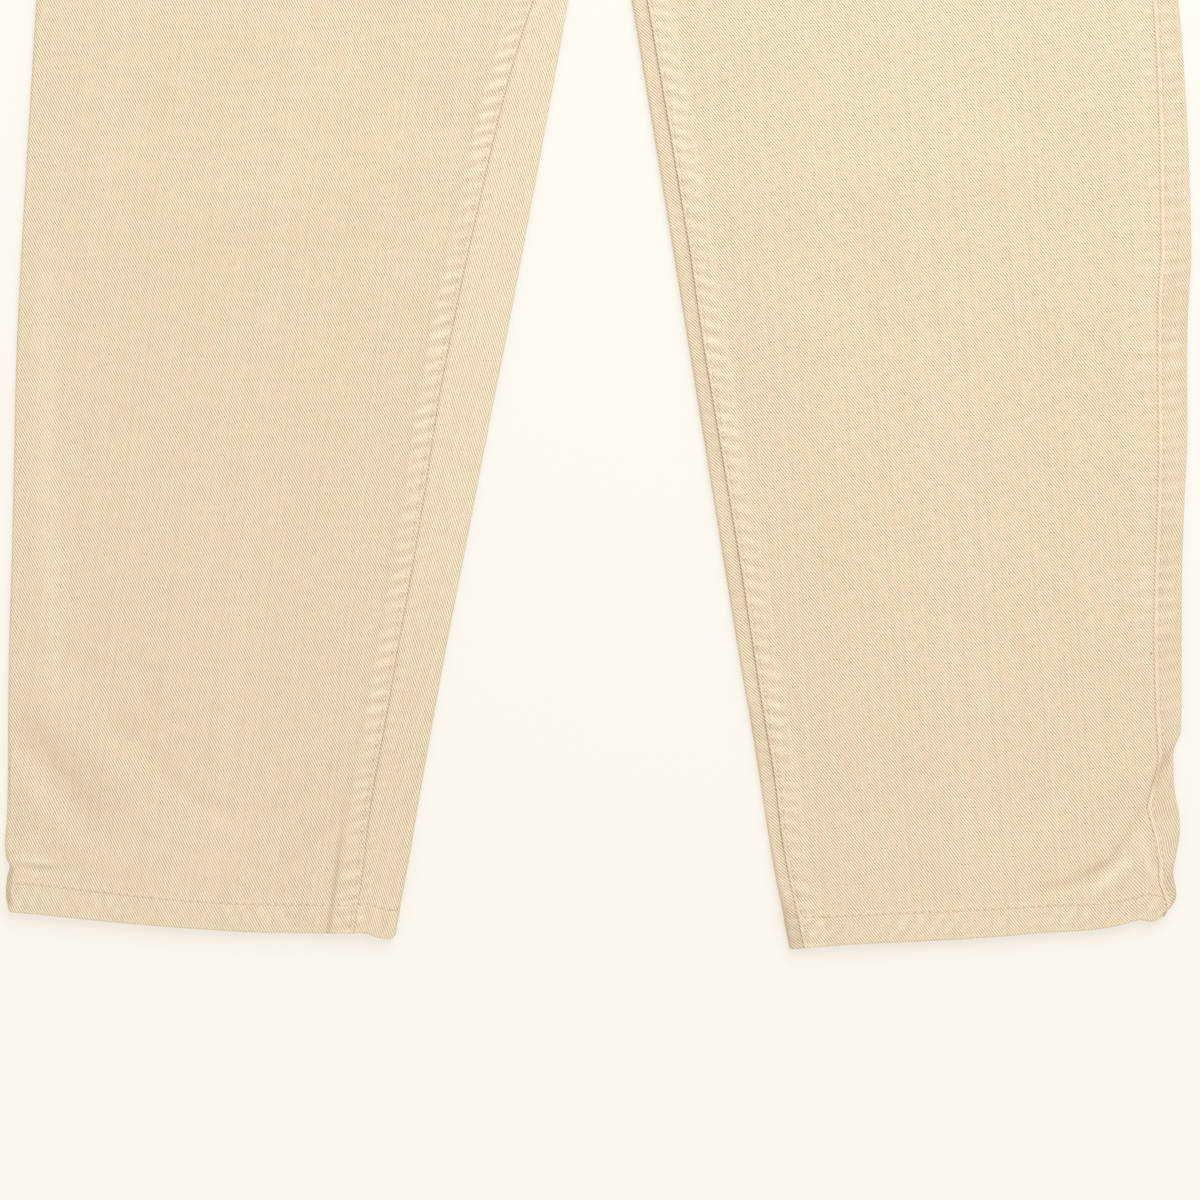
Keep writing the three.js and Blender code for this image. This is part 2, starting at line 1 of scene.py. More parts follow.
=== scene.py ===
import math
import bpy
import numpy as np
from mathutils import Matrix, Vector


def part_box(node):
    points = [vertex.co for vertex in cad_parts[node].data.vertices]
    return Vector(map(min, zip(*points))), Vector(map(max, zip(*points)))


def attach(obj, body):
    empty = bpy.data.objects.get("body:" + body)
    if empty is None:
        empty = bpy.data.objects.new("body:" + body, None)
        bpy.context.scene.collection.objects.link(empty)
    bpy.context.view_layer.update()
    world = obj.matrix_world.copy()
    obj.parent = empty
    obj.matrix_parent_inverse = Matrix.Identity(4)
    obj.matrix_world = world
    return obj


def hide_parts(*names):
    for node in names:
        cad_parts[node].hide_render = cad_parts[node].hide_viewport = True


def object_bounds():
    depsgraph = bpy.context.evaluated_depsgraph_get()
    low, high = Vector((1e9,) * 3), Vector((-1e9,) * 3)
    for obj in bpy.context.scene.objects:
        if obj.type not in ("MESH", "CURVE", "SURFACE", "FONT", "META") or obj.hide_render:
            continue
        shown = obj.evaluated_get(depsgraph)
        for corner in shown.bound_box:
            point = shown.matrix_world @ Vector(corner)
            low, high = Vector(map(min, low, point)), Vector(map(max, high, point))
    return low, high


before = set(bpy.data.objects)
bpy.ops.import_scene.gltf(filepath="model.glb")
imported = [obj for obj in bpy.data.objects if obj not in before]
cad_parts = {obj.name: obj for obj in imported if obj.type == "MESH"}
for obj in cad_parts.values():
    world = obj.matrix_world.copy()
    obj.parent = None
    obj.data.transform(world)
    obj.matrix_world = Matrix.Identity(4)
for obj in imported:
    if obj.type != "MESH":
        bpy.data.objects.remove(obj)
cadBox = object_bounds()
print("frame loaded:", len(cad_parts), "nodes")

# Straight-leg jeans laid flat on their back. Sizes are in millimetres: x runs across from the centre
# seams, up runs from the lowest point of the hems, z up from the floor. Sides are the wearer's own.
mm = 0.001
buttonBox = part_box("waist_button")
centreX = (buttonBox[0].x + buttonBox[1].x) / 2
lowY = cadBox[0].y

camera = {"aimUp": 192.2, "aimZ": 4.0, "span": 660.0, "distance": 1500.0, "sensor": 36.0, "clip": (0.05, 20)}


def makeCamera():
    bpy.ops.object.camera_add(
        location=(centreX, lowY + camera["aimUp"] * mm, (camera["aimZ"] + camera["distance"]) * mm),
        rotation=(0, 0, 0))
    eye = bpy.context.object
    eye.name = "camera"
    eye.data.sensor_width = camera["sensor"]
    eye.data.lens = camera["sensor"] * camera["distance"] / camera["span"]
    eye.data.clip_start, eye.data.clip_end = camera["clip"]
    bpy.context.scene.camera = eye


makeCamera()

garment = {"forkUp": 620, "waistSeamUp": 872, "bandDeep": 38, "gap": 0.3, "cloth": 0.95, "layer": 1.2}
hem = {"deep": 16, "wall": 2.6, "height": 5.7, "fadeUp": 75, "turn": 1.3}
legForm = {"height": 3.4, "edge": 3.5, "edgeReach": 14, "forkFade": 12,
           "uneven": [(0.3, 34, 46, 11), (0.1, 13, 17, 12)]}
seat = {"height": 6.3, "edge": 6.2, "startUp": 560, "fullUp": 700, "lift": 1.6, "liftFrom": 25, "liftTo": 60,
        "liftLong": 30}
fly = {"height": 7.5, "halfWide": 45, "fade": 30, "footUp": 707, "lapStep": 15}
allowance = {"deep": 12.5, "rise": 1.0, "blend": 2.2}
scoop = {"deep": 70, "wide": 95, "underlap": 14, "under": 0.12, "uneven": [(0.1, 18, 22, 61)]}
yoke = {"sideUp": 842, "dip": -35, "dipFrom": 640, "groove": 0.44, "grooveWide": 0.9, "pucker": 0.25}
waist = {"frontDip": -14, "dipFrom": 740, "backRise": 8, "wide": 1.3, "full": 1.2}
scoopFootUp = garment["waistSeamUp"] - scoop["deep"]
tuck = garment["layer"] + garment["gap"]
seamGap = -0.12  # each panel's turned edge reaches this far past the seam line, so that they meet

# Each leg as it lies. lap: how far the front goes over or under at the fly. hemUp: the ends of the hem, at
# the outer and inner edge. outerEdge and innerEdge: the folded edges, by how far up and how far from the
# centre seam. outseam: how far round the cloth it is from the outer edge, plus on top and minus underneath.
# inseam: how far it is from the inner edge. pinches: notches in the outer edge, by up, depth and reach.
# droop: how far the hem hangs below a straight line, across from the outer edge. hemLine: how far its
# stitching is above its fold. folds and creases: soft ridges with their reach and rise, or troughs where the
# rise is below 0.
rightLeg = {
    "side": -1,
    "warp": 83.9,
    "lap": 2,
    "hemUp": (20.5, 7.5),
    "outerEdge": [
        (0, 325), (22, 325.6), (30, 326.9), (40, 326.6), (50, 327.3), (60, 327.7), (70, 326.7),
        (90, 326.2), (165, 325.5), (214, 324), (260, 322.9), (340, 320.9), (480, 313), (560, 307.5),
        (620, 299), (690, 280), (770, 255), (910, 208)],
    "innerEdge": [
        (0, 114.1), (20, 110.3), (36, 107.3), (50, 104.9), (75, 100.9), (115, 93.9), (165, 84.9),
        (230, 72.3), (296, 59.7), (340, 50.9), (480, 25), (560, 11), (620, 0.15)],
    "outseam": [
        (0, -10), (75, -10.5), (207, -12), (295, -14), (385, -16), (480, -15), (560, -14), (620, -13),
        (910, -9)],
    "inseam": [
        (0, 22.6), (30, 23.8), (63, 25.4), (90, 26.1), (130, 25.9), (165, 26.4), (207, 27.1), (250, 28.3),
        (295, 30.1), (327, 30.8), (360, 30.4), (385, 29.8), (480, 25), (560, 13), (600, 6), (620, 2)],
    "pinches": [(45.5, 1.7, 6)],
    "droop": [
        (0, 0), (0.11, 0.6), (0.24, 1.8), (0.38, 2.6), (0.5, 2.9), (0.64, 2.8), (0.71, 2.0), (0.81, 1.1),
        (0.89, 0.2), (0.92, -0.6), (0.935, 0.4), (0.953, 1.5), (0.973, 1.9), (0.99, 1.7), (1, 0)],
    "hemLine": [(0, 17.2), (0.2, 16.8), (0.45, 15.6), (0.7, 15.9), (0.9, 16.1), (1, 16.2)],
    "folds": [
        ([(303, 138), (250, 78)], 24, 2.0),
        ([(322, 98), (283, 54)], 22, 1.8),
        ([(130, 60), (155, 300)], 40, 0.8),
        ([(105, 430), (245, 395)], 34, 0.9),
        ([(16, 642), (150, 706)], 24, 1.3),
        ([(26, 598), (170, 612)], 26, 1.1)],
    "creases": [
        ([(322, 129), (306, 101), (289, 79), (271, 58)], 15, -1.9),
        ([(256, 118), (240, 96), (222, 80), (196, 72)], 8, -0.8),
        ([(262, 166), (249, 150), (248, 128)], 6, -0.7),
        ([(142, 72), (158, 58), (178, 40)], 7, -0.9),
        ([(134, 150), (147, 112), (152, 84)], 7, -0.7),
        ([(325, 46), (312, 44.5), (296, 43)], 3.2, -0.7),
        ([(165.5, 36), (165, 22), (164, 6)], 4, -0.8),
        ([(321, 49), (310, 48), (300, 47.5)], 3.2, 0.8),
        ([(304, 385), (306, 260), (301, 140)], 11, 0.6),
        ([(289, 385), (290, 260), (285, 180)], 7, -0.5)],
}
leftLeg = {
    "side": 1,
    "warp": 94.3,
    "lap": 6,
    "hemUp": (20, 0),
    "outerEdge": [
        (0, 304), (20, 311.2), (27, 316.5), (34, 317.1), (42.5, 315.9), (52, 317.4), (65, 319.4),
        (75, 318.8), (88, 316.5), (106, 315.8), (112, 316.6), (118, 319.4), (126, 320.2), (207, 320.6),
        (247, 321.9), (280, 323.5), (335, 323.4), (365, 324.7), (385, 325.8), (480, 322), (560, 314),
        (620, 302), (690, 281), (770, 255), (910, 208)],
    "innerEdge": [
        (0, 104.4), (20, 100.3), (34, 97.4), (50, 94.8), (75, 90.9), (128, 82.5), (148, 78.9),
        (207, 69.2), (295, 54.9), (385, 40.2), (480, 24.5), (560, 11), (620, 0.15)],
    "outseam": [
        (0, 1), (20, 3.5), (27, 7), (37, 9.7), (50, 11.7), (62, 15.6), (72, 17.9), (78.5, 18.4),
        (80.5, 18.1), (88, 14.5), (97, 11.4), (107, 10), (112, 11.2), (118, 14), (125, 15.4), (146, 16.3),
        (175, 16.9), (240, 16.3), (267, 17.1), (300, 17.8), (340, 17.9), (360, 18.6), (385, 18.4),
        (560, 15), (620, 14), (910, 9)],
    "inseam": [
        (0, 8), (30, 7.8), (57, 7.1), (78, 7.7), (96, 8.2), (130, 7.9), (160, 8.4), (207, 8.9),
        (244, 8.8), (300, 8.4), (330, 8.2), (360, 8.7), (385, 9.2), (560, 8), (600, 5), (620, 2)],
    "pinches": [],
    "droop": [
        (0, 0), (0.017, 2.5), (0.03, 3.9), (0.05, 3.6), (0.072, 2.1), (0.09, 2.9), (0.115, 4.0),
        (0.145, 4.8), (0.19, 5.3), (0.24, 5.2), (0.32, 4.4), (0.46, 4.0), (0.55, 3.5), (0.65, 2.6),
        (0.76, 1.3), (0.86, 0.5), (1, 0)],
    "hemLine": [(0, 14.6), (0.12, 14.8), (0.3, 15.2), (0.55, 16.2), (0.85, 16.2), (1, 17.6)],
    "folds": [
        ([(286, 94), (240, 52)], 18, 1.6),
        ([(298, 60), (258, 28)], 18, 1.9),
        ([(150, 90), (128, 330)], 40, 0.8),
        ([(95, 412), (220, 436)], 32, 0.9),
        ([(14, 648), (128, 716)], 26, 1.4),
        ([(30, 606), (185, 596)], 24, 1.0)],
    "creases": [
        ([(301, 80), (289, 60), (279, 47), (264, 37)], 4.6, -1.9),
        ([(280, 48), (262, 36), (236, 31)], 6, -1.1),
        ([(292, 50), (281, 39), (266, 29)], 7, 1.1),
        ([(317, 114), (311, 104), (308, 97), (303, 84)], 3.4, -3.0),
        ([(296, 66), (300, 50), (303, 40)], 5, 0.7),
        ([(293, 30), (294, 18)], 3, -0.9),
        ([(300, 150), (284, 128), (262, 112)], 9, -0.6),
        ([(316, 42), (308, 44), (302, 48)], 4, -0.9)],
}


def mix(a, b, t):
    return a + (b - a) * t


def smooth(x, low, high):
    t = np.clip((np.asarray(x, float) - low) / (high - low), 0, 1)
    return t * t * (3 - 2 * t)


def bell(x, width):
    return np.exp(-(x / width) ** 2)


def column(values):
    return np.reshape(np.asarray(values, float), (-1, 1))


def unit(vectors):
    return vectors / np.linalg.norm(vectors, axis=-1, keepdims=True)


def framePlaces(x, up, z):
    # garment millimetres to frame metres
    return np.stack(np.broadcast_arrays(x * mm + centreX, up * mm + lowY, z * mm), axis=-1)


def readTable(rows, at):
    # a smooth curve through a table's second column; the first says where each row stands
    x, y = np.array(rows, float).T
    before = np.maximum(np.arange(len(x)) - 1, 0)
    after = np.minimum(np.arange(len(x)) + 1, len(x) - 1)
    slope = (y[after] - y[before]) / (x[after] - x[before])
    at = np.asarray(at, float)
    i = np.clip(np.searchsorted(x, at, side="right") - 1, 0, len(x) - 2)
    span = x[i + 1] - x[i]
    t = np.clip((at - x[i]) / span, 0, 1)
    leave, arrive, rise = slope[i] * span, slope[i + 1] * span, y[i + 1] - y[i]
    return y[i] + t * (leave + t * (3 * rise - 2 * leave - arrive + t * (leave + arrive - 2 * rise)))


def patches(x, y, seed):
    # soft uneven patches between -1 and 1, one unit across, the same on every run
    i, j = np.floor(x).astype(np.int64), np.floor(y).astype(np.int64)
    fx, fy = smooth(x - i, 0, 1), smooth(y - j, 0, 1)

    def corner(across, on):
        # one even number for each corner, from a whole-number hash
        h = ((i + across) * 374761393 + (j + on) * 668265263 + seed * 1274126177) & 0xFFFFFFFF
        h = ((h ^ (h >> 13)) * 1103515245) & 0xFFFFFFFF
        return ((h ^ (h >> 16)) & 0xFFFF) / 32767.5 - 1

    return mix(mix(corner(0, 0), corner(1, 0), fx), mix(corner(0, 1), corner(1, 1), fx), fy)


def unevenness(layers, x, y):
    # patches added up, each layer with its height, width, length and seed
    return sum(high * patches(x / wide, y / long, seed) for high, wide, long, seed in layers)


def alongLine(x, up, line):
    # distance of each place to a bent line, and how far along the line the nearest spot is, 0 to 1
    best = np.full(np.shape(x), 1e9)
    share = np.zeros(np.shape(x))
    corners = np.array(line, float)
    runs = np.linalg.norm(np.diff(corners, axis=0), axis=1)
    starts = np.concatenate([[0], np.cumsum(runs)])
    for k, run in enumerate(runs):
        (ax, ay), (bx, by) = corners[k], corners[k + 1]
        t = np.clip(((x - ax) * (bx - ax) + (up - ay) * (by - ay)) / run ** 2, 0, 1)
        distance = np.hypot(x - mix(ax, bx, t), up - mix(ay, by, t))
        nearer = distance < best
        best = np.where(nearer, distance, best)
        share = np.where(nearer, (starts[k] + t * run) / starts[-1], share)
    return best, share


def ridgeRise(lines, x, up, fade):
    total = np.zeros(np.shape(x))
    for line, reach, rise in lines:
        distance, share = alongLine(x, up, line)
        total = total + rise * (1 - smooth(distance, 0, reach)) * fade(share)
    return total


def foldRise(leg, x, up):
    return ridgeRise(leg["folds"], x, up, lambda share: np.sin(np.pi * mix(0.2, 0.8, share)))


def creaseRise(leg, x, up):
    def fade(share):
        return smooth(share, -0.15, 0.3) * (1 - smooth(share, 0.7, 1.15))
    return ridgeRise(leg["creases"], x, up, fade)


class Levels:
    # what is known of each level of a leg or a half of the seat, a row for each
    pass


def levelsOf(leg, rises, dip=None, radius=None):
    # A level goes straight across, from the outer folded edge to the inner one or the centre seam. dip
    # says how far a level above the fork sinks or rises towards the centre; radius is its outer fold's.
    lv = Levels()
    lv.rise, lv.dip, forkUp = column(rises), dip, garment["forkUp"]
    lv.inLeg = lv.rise <= forkUp
    share = np.minimum(lv.rise / forkUp, 1)
    lv.outerUp, lv.innerUp = (np.where(lv.inLeg, mix(low, forkUp, share), lv.rise) for low in leg["hemUp"])
    lv.hemShare = 1 - smooth(lv.rise, hem["deep"], hem["fadeUp"])
    pinch = sum(deep * (1 - smooth(np.abs(lv.outerUp - up), 0, reach)) for up, deep, reach in leg["pinches"])
    lv.outerX = readTable(leg["outerEdge"], lv.outerUp) - np.where(lv.inLeg, pinch, 0)
    lv.innerX = np.where(lv.inLeg, readTable(leg["innerEdge"], lv.innerUp), garment["gap"] / 2)
    legRadius = mix(legForm["edge"], hem["height"], lv.hemShare) / 2
    seatRadius = mix(legForm["edge"], seat["edge"], smooth(lv.rise, forkUp, seat["fullUp"])) / 2
    lv.outerRadius = np.where(lv.inLeg, legRadius, seatRadius) if radius is None else 0 * lv.rise + radius
    lv.innerRadius = np.where(lv.inLeg, legRadius, 1e-6)
    inner = np.where(lv.inLeg, legRadius, 0)
    lv.width = np.hypot(lv.outerX - lv.innerX, lv.outerUp - lv.innerUp)
    lv.outerQuarter, lv.innerQuarter = np.pi / 2 * lv.outerRadius, np.pi / 2 * inner
    lv.over = lv.width - lv.outerRadius - inner + lv.outerQuarter + lv.innerQuarter
    lv.outseam = readTable(leg["outseam"], lv.outerUp)
    lv.inseam = lv.over - lv.innerQuarter - readTable(leg["inseam"], lv.innerUp) + inner
    return lv


def fromOuterOf(lv, around):
    return np.abs(around) - lv.outerQuarter + lv.outerRadius


def insideOf(across):
    # 0 at the outer edge and 1 at the inner edge or centre, on top and underneath
    return 1 - np.abs(1 - across)


def planOf(leg, lv, fromOuter):
    across = fromOuter / lv.width
    x = mix(lv.outerX, lv.innerX, across)
    up = mix(lv.outerUp, lv.innerUp, across)
    inside = insideOf(across)
    up = up - readTable(leg["droop"], np.clip(inside, 0, 1)) * lv.hemShare
    if lv.dip:
        up = up + np.where(lv.inLeg, 0, lv.dip(lv.rise, inside))
    return x, up


def topHeight(leg, lv, x, up, fromOuter):
    seatShare = smooth(up, seat["startUp"], seat["fullUp"])
    height = mix(mix(legForm["height"], hem["height"], lv.hemShare), seat["height"], seatShare)
    flyShare = smooth(up, fly["footUp"] - 2 * fly["fade"], fly["footUp"] - fly["fade"])
    flyAcross = 1 - smooth(np.abs(x), fly["halfWide"], fly["halfWide"] + fly["fade"])
    height = height + (fly["height"] - height) * flyShare * flyAcross
    nearOuter = 1 - smooth(fromOuter - lv.outerRadius, 0, legForm["edgeReach"])
    height = height + (2 * lv.outerRadius - height) * nearOuter
    fromInner = lv.width - fromOuter - lv.innerRadius
    nearInner = np.where(lv.inLeg, 1 - smooth(fromInner, 0, legForm["edgeReach"]), 0)
    nearInner = nearInner * (1 - smooth(lv.rise, garment["forkUp"] - legForm["forkFade"], garment["forkUp"]))
    height = height + (2 * lv.innerRadius - height) * nearInner
    height = height + foldRise(leg, x, up) * (1 - lv.hemShare)
    uneven = unevenness(legForm["uneven"], x, up) * (1 - nearOuter) * (1 - nearInner)
    return height + creaseRise(leg, x, up) * (1 - 0.6 * nearOuter) + uneven


def underHeight(up, fromOuter):
    lift = seat["lift"] * smooth(fromOuter, seat["liftFrom"], seat["liftTo"])
    return lift * smooth(up, garment["forkUp"], garment["forkUp"] + seat["liftLong"])


def place(leg, lv, around, out):
    # A place on the cloth, in frame metres: around goes over the top from the outer edge, minus is
    # underneath and on round the inner fold; out is how far it stands proud of the cloth's outside.
    ro, ri, oq, iq, over = lv.outerRadius, lv.innerRadius, lv.outerQuarter, lv.innerQuarter, lv.over
    around, out = np.broadcast_arrays(around, out)
    back = -around
    inOuter = np.abs(around) <= oq
    onTop = ~inOuter & (around > 0)
    folded = lv.inLeg & (back >= over - iq)
    inInner = folded & (back <= over + iq)
    onStrip = folded & (back > over + iq)
    outerAngle = around / ro
    innerAngle = np.clip((back - over) / ri, -np.pi, np.pi)
    fromOuter = np.select(
        [inOuter, onTop, inInner, onStrip],
        [ro - (ro + out) * np.cos(outerAngle), around - oq + ro,
         lv.width - ri + (ri + out) * np.cos(innerAngle), lv.width - ri - (back - over - iq)],
        back - oq + ro)
    x, up = planOf(leg, lv, fromOuter)
    z = np.select(
        [inOuter, onTop | onStrip, inInner],
        [ro + (ro + out) * np.sin(outerAngle), topHeight(leg, lv, x, up, fromOuter) + out,
         ri + (ri + out) * np.sin(innerAngle)],
        underHeight(up, fromOuter) - out)
    return framePlaces(leg["side"] * x, up, np.maximum(z, 0.02))  # nothing sinks into what it lies on


def turnedEdge(distance, radius=0.33):
    # how far cloth sinks as it turns down into a seam
    inside = np.clip(1 - distance / radius, 0, 1)
    return radius * (1 - np.sqrt(1 - inside ** 2))


# Edges, puckers and hems. Columns crowd together towards a seam, where the cloth is least even.
seamSteps = [
    0, 0.12, 0.3, 0.5, 0.75, 1.2, 1.8, 2.5, 3.3, 4.2, 5.2, 6.3, 7.5, 8.7, 9.9, 11, 12, 13, 14.2, 16.5]
plainSteps = [0, 0.15, 0.4, 0.75, 1.4, 2.6, 4.5]
# needle: the length of a stitch, how far in from its seam each row runs, and the double row's two lines.
# seamWave and hemWave: how unevenly puckers stand, in place and in height. relief: the rest of the cloth's
# small rises and grooves. The last two tables: how much painted shade, with some darker tone, and how much
# painted highlight and wear the cloth takes, and where.
needle = {"hemPitch": 4.3, "seamPitch": 4.0, "topPitch": 3.6, "inseamIn": 2.5, "outseamIn": 3.3,
          "rows": (2.0, 8.0)}
seamWave = {"shift": (2.4, 23, 40), "uneven": (0.7, 0.45, 16, 14), "sharp": 0.45, "low": 0.65}
hemWave = {"shift": (2.5, 24, 30), "uneven": (0.75, 0.4, 19, 12), "sharp": 0.7, "low": 0.5}
pucker = {
    "inseam": {"period": 8.3, "height": 0.82, "reach": 14, "lean": 0.3, "seed": 21},
    "strip": {"period": 7.2, "height": 0.25, "reach": 9, "lean": -0.2, "seed": 31},
    "outseam": {"period": 8.8, "height": 0.42, "reach": 17, "lean": -0.1, "seed": 41},
    "hem": {"period": 9.2, "height": 0.29, "lean": 0.5, "seed": 51, "beyond": 0.45}}
relief = {
    "legEnds": 60, "outseamFrom": (70, 150), "inseamFrom": (70, 200), "inseamLow": 0.6,
    "allowanceDip": (0.24, 0.7), "inseamRow": 0.16, "outseamRow": (0.44, 0.12), "outseamRidge": 0.5,
    "hemGroove": 0.3, "grooveWide": 0.95, "groovePull": 0.25, "grooveUnder": 1.4, "hemStep": 0.4,
    "tuckWide": (20, 9)}
shadeAndDarkLevels = {
    "seam": 0.48, "between": 1.1, "outstrip": 0.2, "outseamLow": 0.7, "outseamTo": (95, 150), "corner": 0.6,
    "cornerTo": (40, 47), "allowanceTo": (30, 75), "hemEdge": 1.0, "hemEdgeAt": (22, 28, 44, 47)}
highlightAndWearLevels = {
    "crest": 2.8, "crease": 0.16, "hemFold": 0.5, "ridge": 0.5, "instrip": 0.16, "instripFrom": (60, 300)}


def columnsBetween(a, b, atStart, atEnd, count):
    # columns from a to b: at the given distances from each end, then evenly in between
    reach = np.abs(b - a)
    way = np.sign(b - a)
    head, tail = np.array(atStart, float), np.array(atEnd, float)
    first = a + way * head * np.minimum(1, 0.4 * reach / max(head[-1], 0.1))
    last = b - way * tail * np.minimum(1, 0.4 * reach / max(tail[-1], 0.1))
    t = np.linspace(0, 1, count + 2)[1:-1]
    return np.concatenate([first, mix(first[:, -1:], last[:, -1:], t), last[:, ::-1]], axis=1)


def ruffled(along, away, form, wave):
    # short ridges that stand across a seam, uneven in place and height
    shift, long, wide = wave["shift"]
    shift = shift * patches(along / long, away / wide, form["seed"])
    ripple = 0.5 + 0.5 * np.sin(2 * np.pi * (along + form["lean"] * away + shift) / form["period"])
    even, uneven, long, wide = wave["uneven"]
    uneven = even + uneven * patches(along / long, away / wide, form["seed"] + 1)
    return form["height"] * (ripple ** wave["sharp"] - wave["low"]) * uneven


def puckerRise(along, toSeam, kind):
    form = pucker[kind]
    across = smooth(toSeam, -0.6, 2.2) * (1 - smooth(toSeam, 0.55 * form["reach"], form["reach"]))
    return ruffled(along, toSeam, form, seamWave) * across


def hemLineAt(leg, lv, around):
    inside = insideOf(np.clip(fromOuterOf(lv, around) / lv.width, 0, 2))
    return readTable(leg["hemLine"], np.clip(inside, 0, 1))


def hemRelief(leg, lv, around):
    # The turned hem: puckers across it, a groove at its stitching and the step where it ends.
    above = lv.rise - hemLineAt(leg, lv, around)
    within = smooth(lv.rise, 1, 7) * (1 - smooth(above, -3, 0.5))
    beyond = smooth(above, -0.5, 1.5) * (1 - smooth(above, 3, 13))
    puckers = ruffled(around, lv.rise, pucker["hem"], hemWave) * (within + pucker["hem"]["beyond"] * beyond)
    pull = relief["groovePull"]
    pulled = 1 - pull + pull * np.cos(2 * np.pi * around / needle["hemPitch"])
    pulled = np.where(around < -lv.outerQuarter, relief["grooveUnder"], pulled)
    groove = relief["hemGroove"] * pulled * bell(above, relief["grooveWide"])
    step = relief["hemStep"] * smooth(above, 0.2, 2.6) * (1 - smooth(above, 6, 38))
    return -groove - step, puckers, above


def frontDip(up, inside):
    return waist["frontDip"] * smooth(up, waist["dipFrom"], garment["waistSeamUp"]) * inside ** 2


def backDip(up, inside):
    toYoke = yoke["dip"] * smooth(up, yoke["dipFrom"], yoke["sideUp"])
    toWaist = (waist["backRise"] - yoke["dip"]) * smooth(up, yoke["sideUp"], garment["waistSeamUp"])
    return (toYoke + toWaist) * smooth(inside, 0, waist["wide"]) * waist["full"]


def scoopIn(up):
    below = (garment["waistSeamUp"] - up) / scoop["deep"]
    return np.where(below >= 1, 0, scoop["wide"] * np.sqrt(np.maximum(1 - below ** 2, 0)))


def frontForm(leg, rises):
    # levels of a front panel with its two edges, and where the pocket's mouth starts
    lv = levelsOf(leg, rises, frontDip)
    lapShare = smooth(lv.rise, fly["footUp"], fly["footUp"] + fly["lapStep"])
    lv.end = np.where(lv.inLeg, lv.inseam - seamGap, lv.over - seamGap + leg["lap"] * lapShare)
    lv.start = lv.outseam + seamGap
    lv.inScoop = lv.rise > scoopFootUp
    mouth = lv.start if leg["side"] > 0 else lv.outerQuarter
    lv.mouth = np.where(lv.inScoop, mouth + scoopIn(lv.rise), mouth)
    return lv


def edgeDistances(lv, around):
    # how far a place is from a panel's outseam, or pocket mouth, and from its inseam or centre seam
    if lv.dip is backDip:
        return lv.start - around, around - lv.end
    return around - np.where(lv.inScoop, lv.mouth, lv.start), lv.end - around


def besideAllowance(toEnd):
    # where cloth sinks beside the edge of the turned-in allowance
    return bell(toEnd - allowance["deep"] - 2.0, 1.5)


def frontOut(leg, lv, around):
    # how far the front's outside stands proud of its plain form, how far above the hem's stitching it
    # is, and how much of the first is puckers
    toStart, toEnd = edgeDistances(lv, around)
    rise, forkUp = lv.rise, garment["forkUp"]
    inLeg = 1 - smooth(rise, forkUp - relief["legEnds"], forkUp)
    deep, blend = allowance["deep"], allowance["blend"]
    plateau = allowance["rise"] * (1 - smooth(toEnd, deep - blend, deep + blend))
    out = plateau * inLeg * (1 - 0.6 * lv.hemShare)
    out = out - mix(*relief["allowanceDip"], lv.hemShare) * besideAllowance(toEnd) * inLeg
    out = out - relief["inseamRow"] * bell(toEnd - needle["inseamIn"], 0.8) * inLeg
    upLeg = mix(relief["inseamLow"], 1.0, smooth(rise, *relief["inseamFrom"]))
    ruffle = puckerRise(rise, toEnd, "inseam") * inLeg * upLeg
    if leg["side"] > 0:
        beside = puckerRise(rise, around - lv.start, "outseam")
        ruffle = ruffle + 0.5 * beside * smooth(rise, *relief["outseamFrom"])
    else:
        # the lap under the fly lies lower
        far, near = relief["tuckWide"]
        tuckShare = smooth(rise, fly["footUp"] - fly["fade"], fly["footUp"])
        out = out - tuckShare * smooth(around, lv.over - far, lv.over - near) * tuck
    groove, hemRuffle, above = hemRelief(leg, lv, around)
    ruffle = ruffle + hemRuffle
    return out + ruffle + groove - turnedEdge(np.minimum(toStart, toEnd)), above, ruffle


def backForm(leg, rises):
    lv = levelsOf(leg, rises, backDip)
    lv.start = lv.outseam - seamGap
    lv.end = np.where(lv.inLeg, -(2 * lv.over - lv.inseam - seamGap), -lv.over)
    return lv


def backOut(leg, lv, around):
    toStart, toEnd = edgeDistances(lv, around)
    forkUp = garment["forkUp"]
    ruffle = puckerRise(lv.rise, toEnd, "strip") * (1 - smooth(lv.rise, forkUp - relief["legEnds"], forkUp))
    underRow, topRow = relief["outseamRow"]
    if leg["side"] > 0:
        ridge = relief["outseamRidge"] * smooth(toStart, 0, 0.8) * (1 - smooth(toStart, 1.6, 4.6))
        out = ridge * (1 - 0.2 * lv.hemShare) - topRow * bell(toStart - needle["outseamIn"], 0.7)
        ruffle = ruffle + puckerRise(lv.rise, toStart, "outseam") * smooth(lv.rise, *relief["outseamFrom"])
    else:
        out = -underRow * bell(toStart - needle["outseamIn"], 0.9)
    groove, hemRuffle, above = hemRelief(leg, lv, around)
    ruffle = ruffle + hemRuffle
    return out + ruffle + groove - turnedEdge(np.minimum(toStart, toEnd)), above, ruffle


